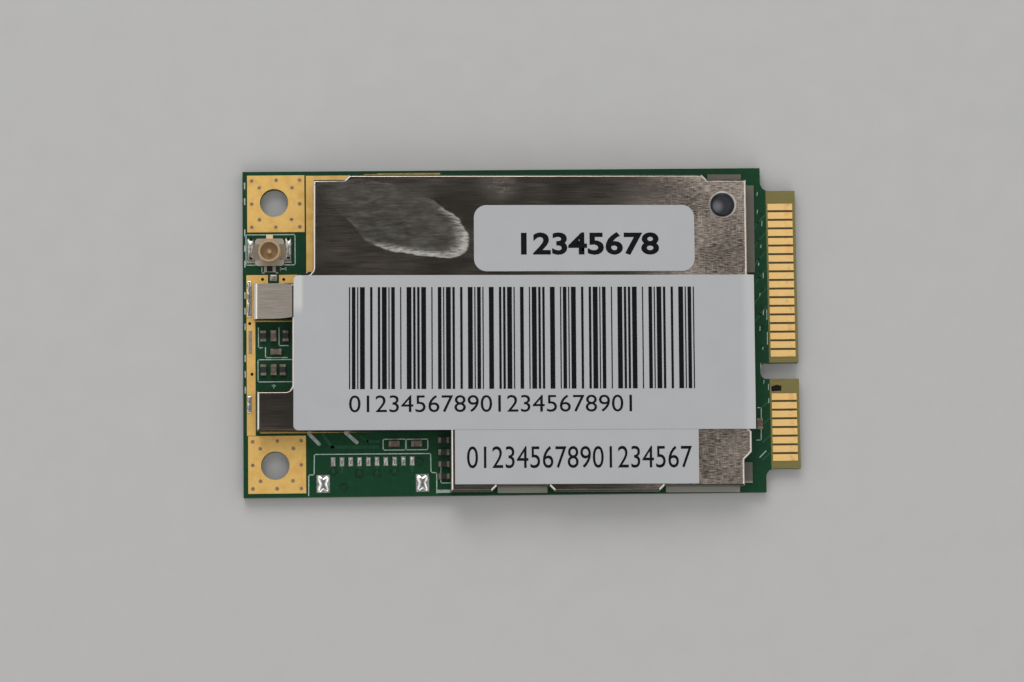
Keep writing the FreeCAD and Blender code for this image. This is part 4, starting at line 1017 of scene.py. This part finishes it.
def tone_ramp(source, stops):
    """Grey ramp of the mirrored studio over one part of the direction."""
    node = tree.nodes.new("ShaderNodeValToRGB")
    tree.links.new(source, node.inputs[0])
    ramp = node.color_ramp
    ramp.elements.remove(ramp.elements[1])
    ramp.elements[0].position = stops[0][0]
    ramp.elements[0].color = (stops[0][1],) * 3 + (1,)
    for place, grey in stops[1:]:
        ramp.elements.new(place).color = (grey,) * 3 + (1,)
    return node.outputs["Color"]


def mixed(how, first, second):
    """Two tones of the studio, joined by a blend mode."""
    node = tree.nodes.new("ShaderNodeMix")
    node.data_type = "RGBA"
    node.blend_type = how
    node.inputs["Factor"].default_value = 1.0
    tree.links.new(first, node.inputs[MIX_FIRST])
    tree.links.new(second, node.inputs[MIX_SECOND])
    return node.outputs[MIX_RESULT]


parts = tree.nodes.new("ShaderNodeSeparateXYZ")
tree.links.new(tree.nodes.new("ShaderNodeTexCoord").outputs["Generated"], parts.inputs[0])
sideways = tree.nodes.new("ShaderNodeMath")
sideways.operation = "ABSOLUTE"
tree.links.new(parts.outputs["X"], sideways.inputs[0])
from_side = mixed("MULTIPLY", tone_ramp(sideways.outputs[0], SIDE_STOPS),
                  tone_ramp(parts.outputs["Z"], SIDE_HEIGHT_STOPS))
from_height = tone_ramp(parts.outputs["Z"], HEIGHT_STOPS)
mirror = tree.nodes.new("ShaderNodeBackground")
mirror.inputs["Strength"].default_value = MIRROR_STRENGTH
tree.links.new(mixed("LIGHTEN", from_side, from_height), mirror.inputs["Color"])
plain = tree.nodes.new("ShaderNodeBackground")
plain.inputs["Color"].default_value = (1.0, 1.0, 1.0, 1)
plain.inputs["Strength"].default_value = PLAIN_STRENGTH
choice = tree.nodes.new("ShaderNodeMixShader")
glossy = tree.nodes.new("ShaderNodeLightPath").outputs["Is Glossy Ray"]
for number, source in enumerate((glossy, plain.outputs[0], mirror.outputs[0])):
    tree.links.new(source, choice.inputs[number])
out = tree.nodes.new("ShaderNodeOutputWorld")
tree.links.new(choice.outputs[0], out.inputs[0])


def soft_lamp(name, place, size, power):
    """Square lamp that shines at the card's middle."""
    lamp = bpy.data.lights.new(name, "AREA")
    lamp.size = size
    lamp.energy = power
    thing = add_object(name, lamp)
    thing.location = place
    thing.rotation_euler = (-Vector(place)).to_track_quat("-Z", "Y").to_euler()


soft_lamp("key", place=(-0.08, 0.38, 0.36), size=0.3, power=1.3)
soft_lamp("fill", place=(0.08, -0.42, 0.3), size=0.3, power=0.5)

# Camera, fitted to the photograph
LENS = 110.0
TILT = (math.radians(-6.2989), math.radians(1.9044), math.radians(0.7578))
DISTANCE = 287.1335
SHIFT = (0.36945, 0.87400)
AIM = (25.0, 15.0)
turn = Matrix.Rotation(TILT[0], 3, "X") @ Matrix.Rotation(TILT[1], 3, "Y")
back = (turn @ Matrix.Rotation(TILT[2], 3, "Z")).transposed()
eye = at(*AIM, MASK_TOP) - back @ (Vector((SHIFT[0], SHIFT[1], -DISTANCE)) * MM)
camera_data = bpy.data.cameras.new("camera")
camera_data.lens = LENS
camera_data.sensor_width = 36.0
camera_data.clip_start = 0.01
camera = add_object("camera", camera_data)
camera.matrix_world = Matrix.Translation(eye) @ back.to_4x4()
bpy.context.scene.camera = camera
bpy.context.scene.view_settings.view_transform = "Standard"
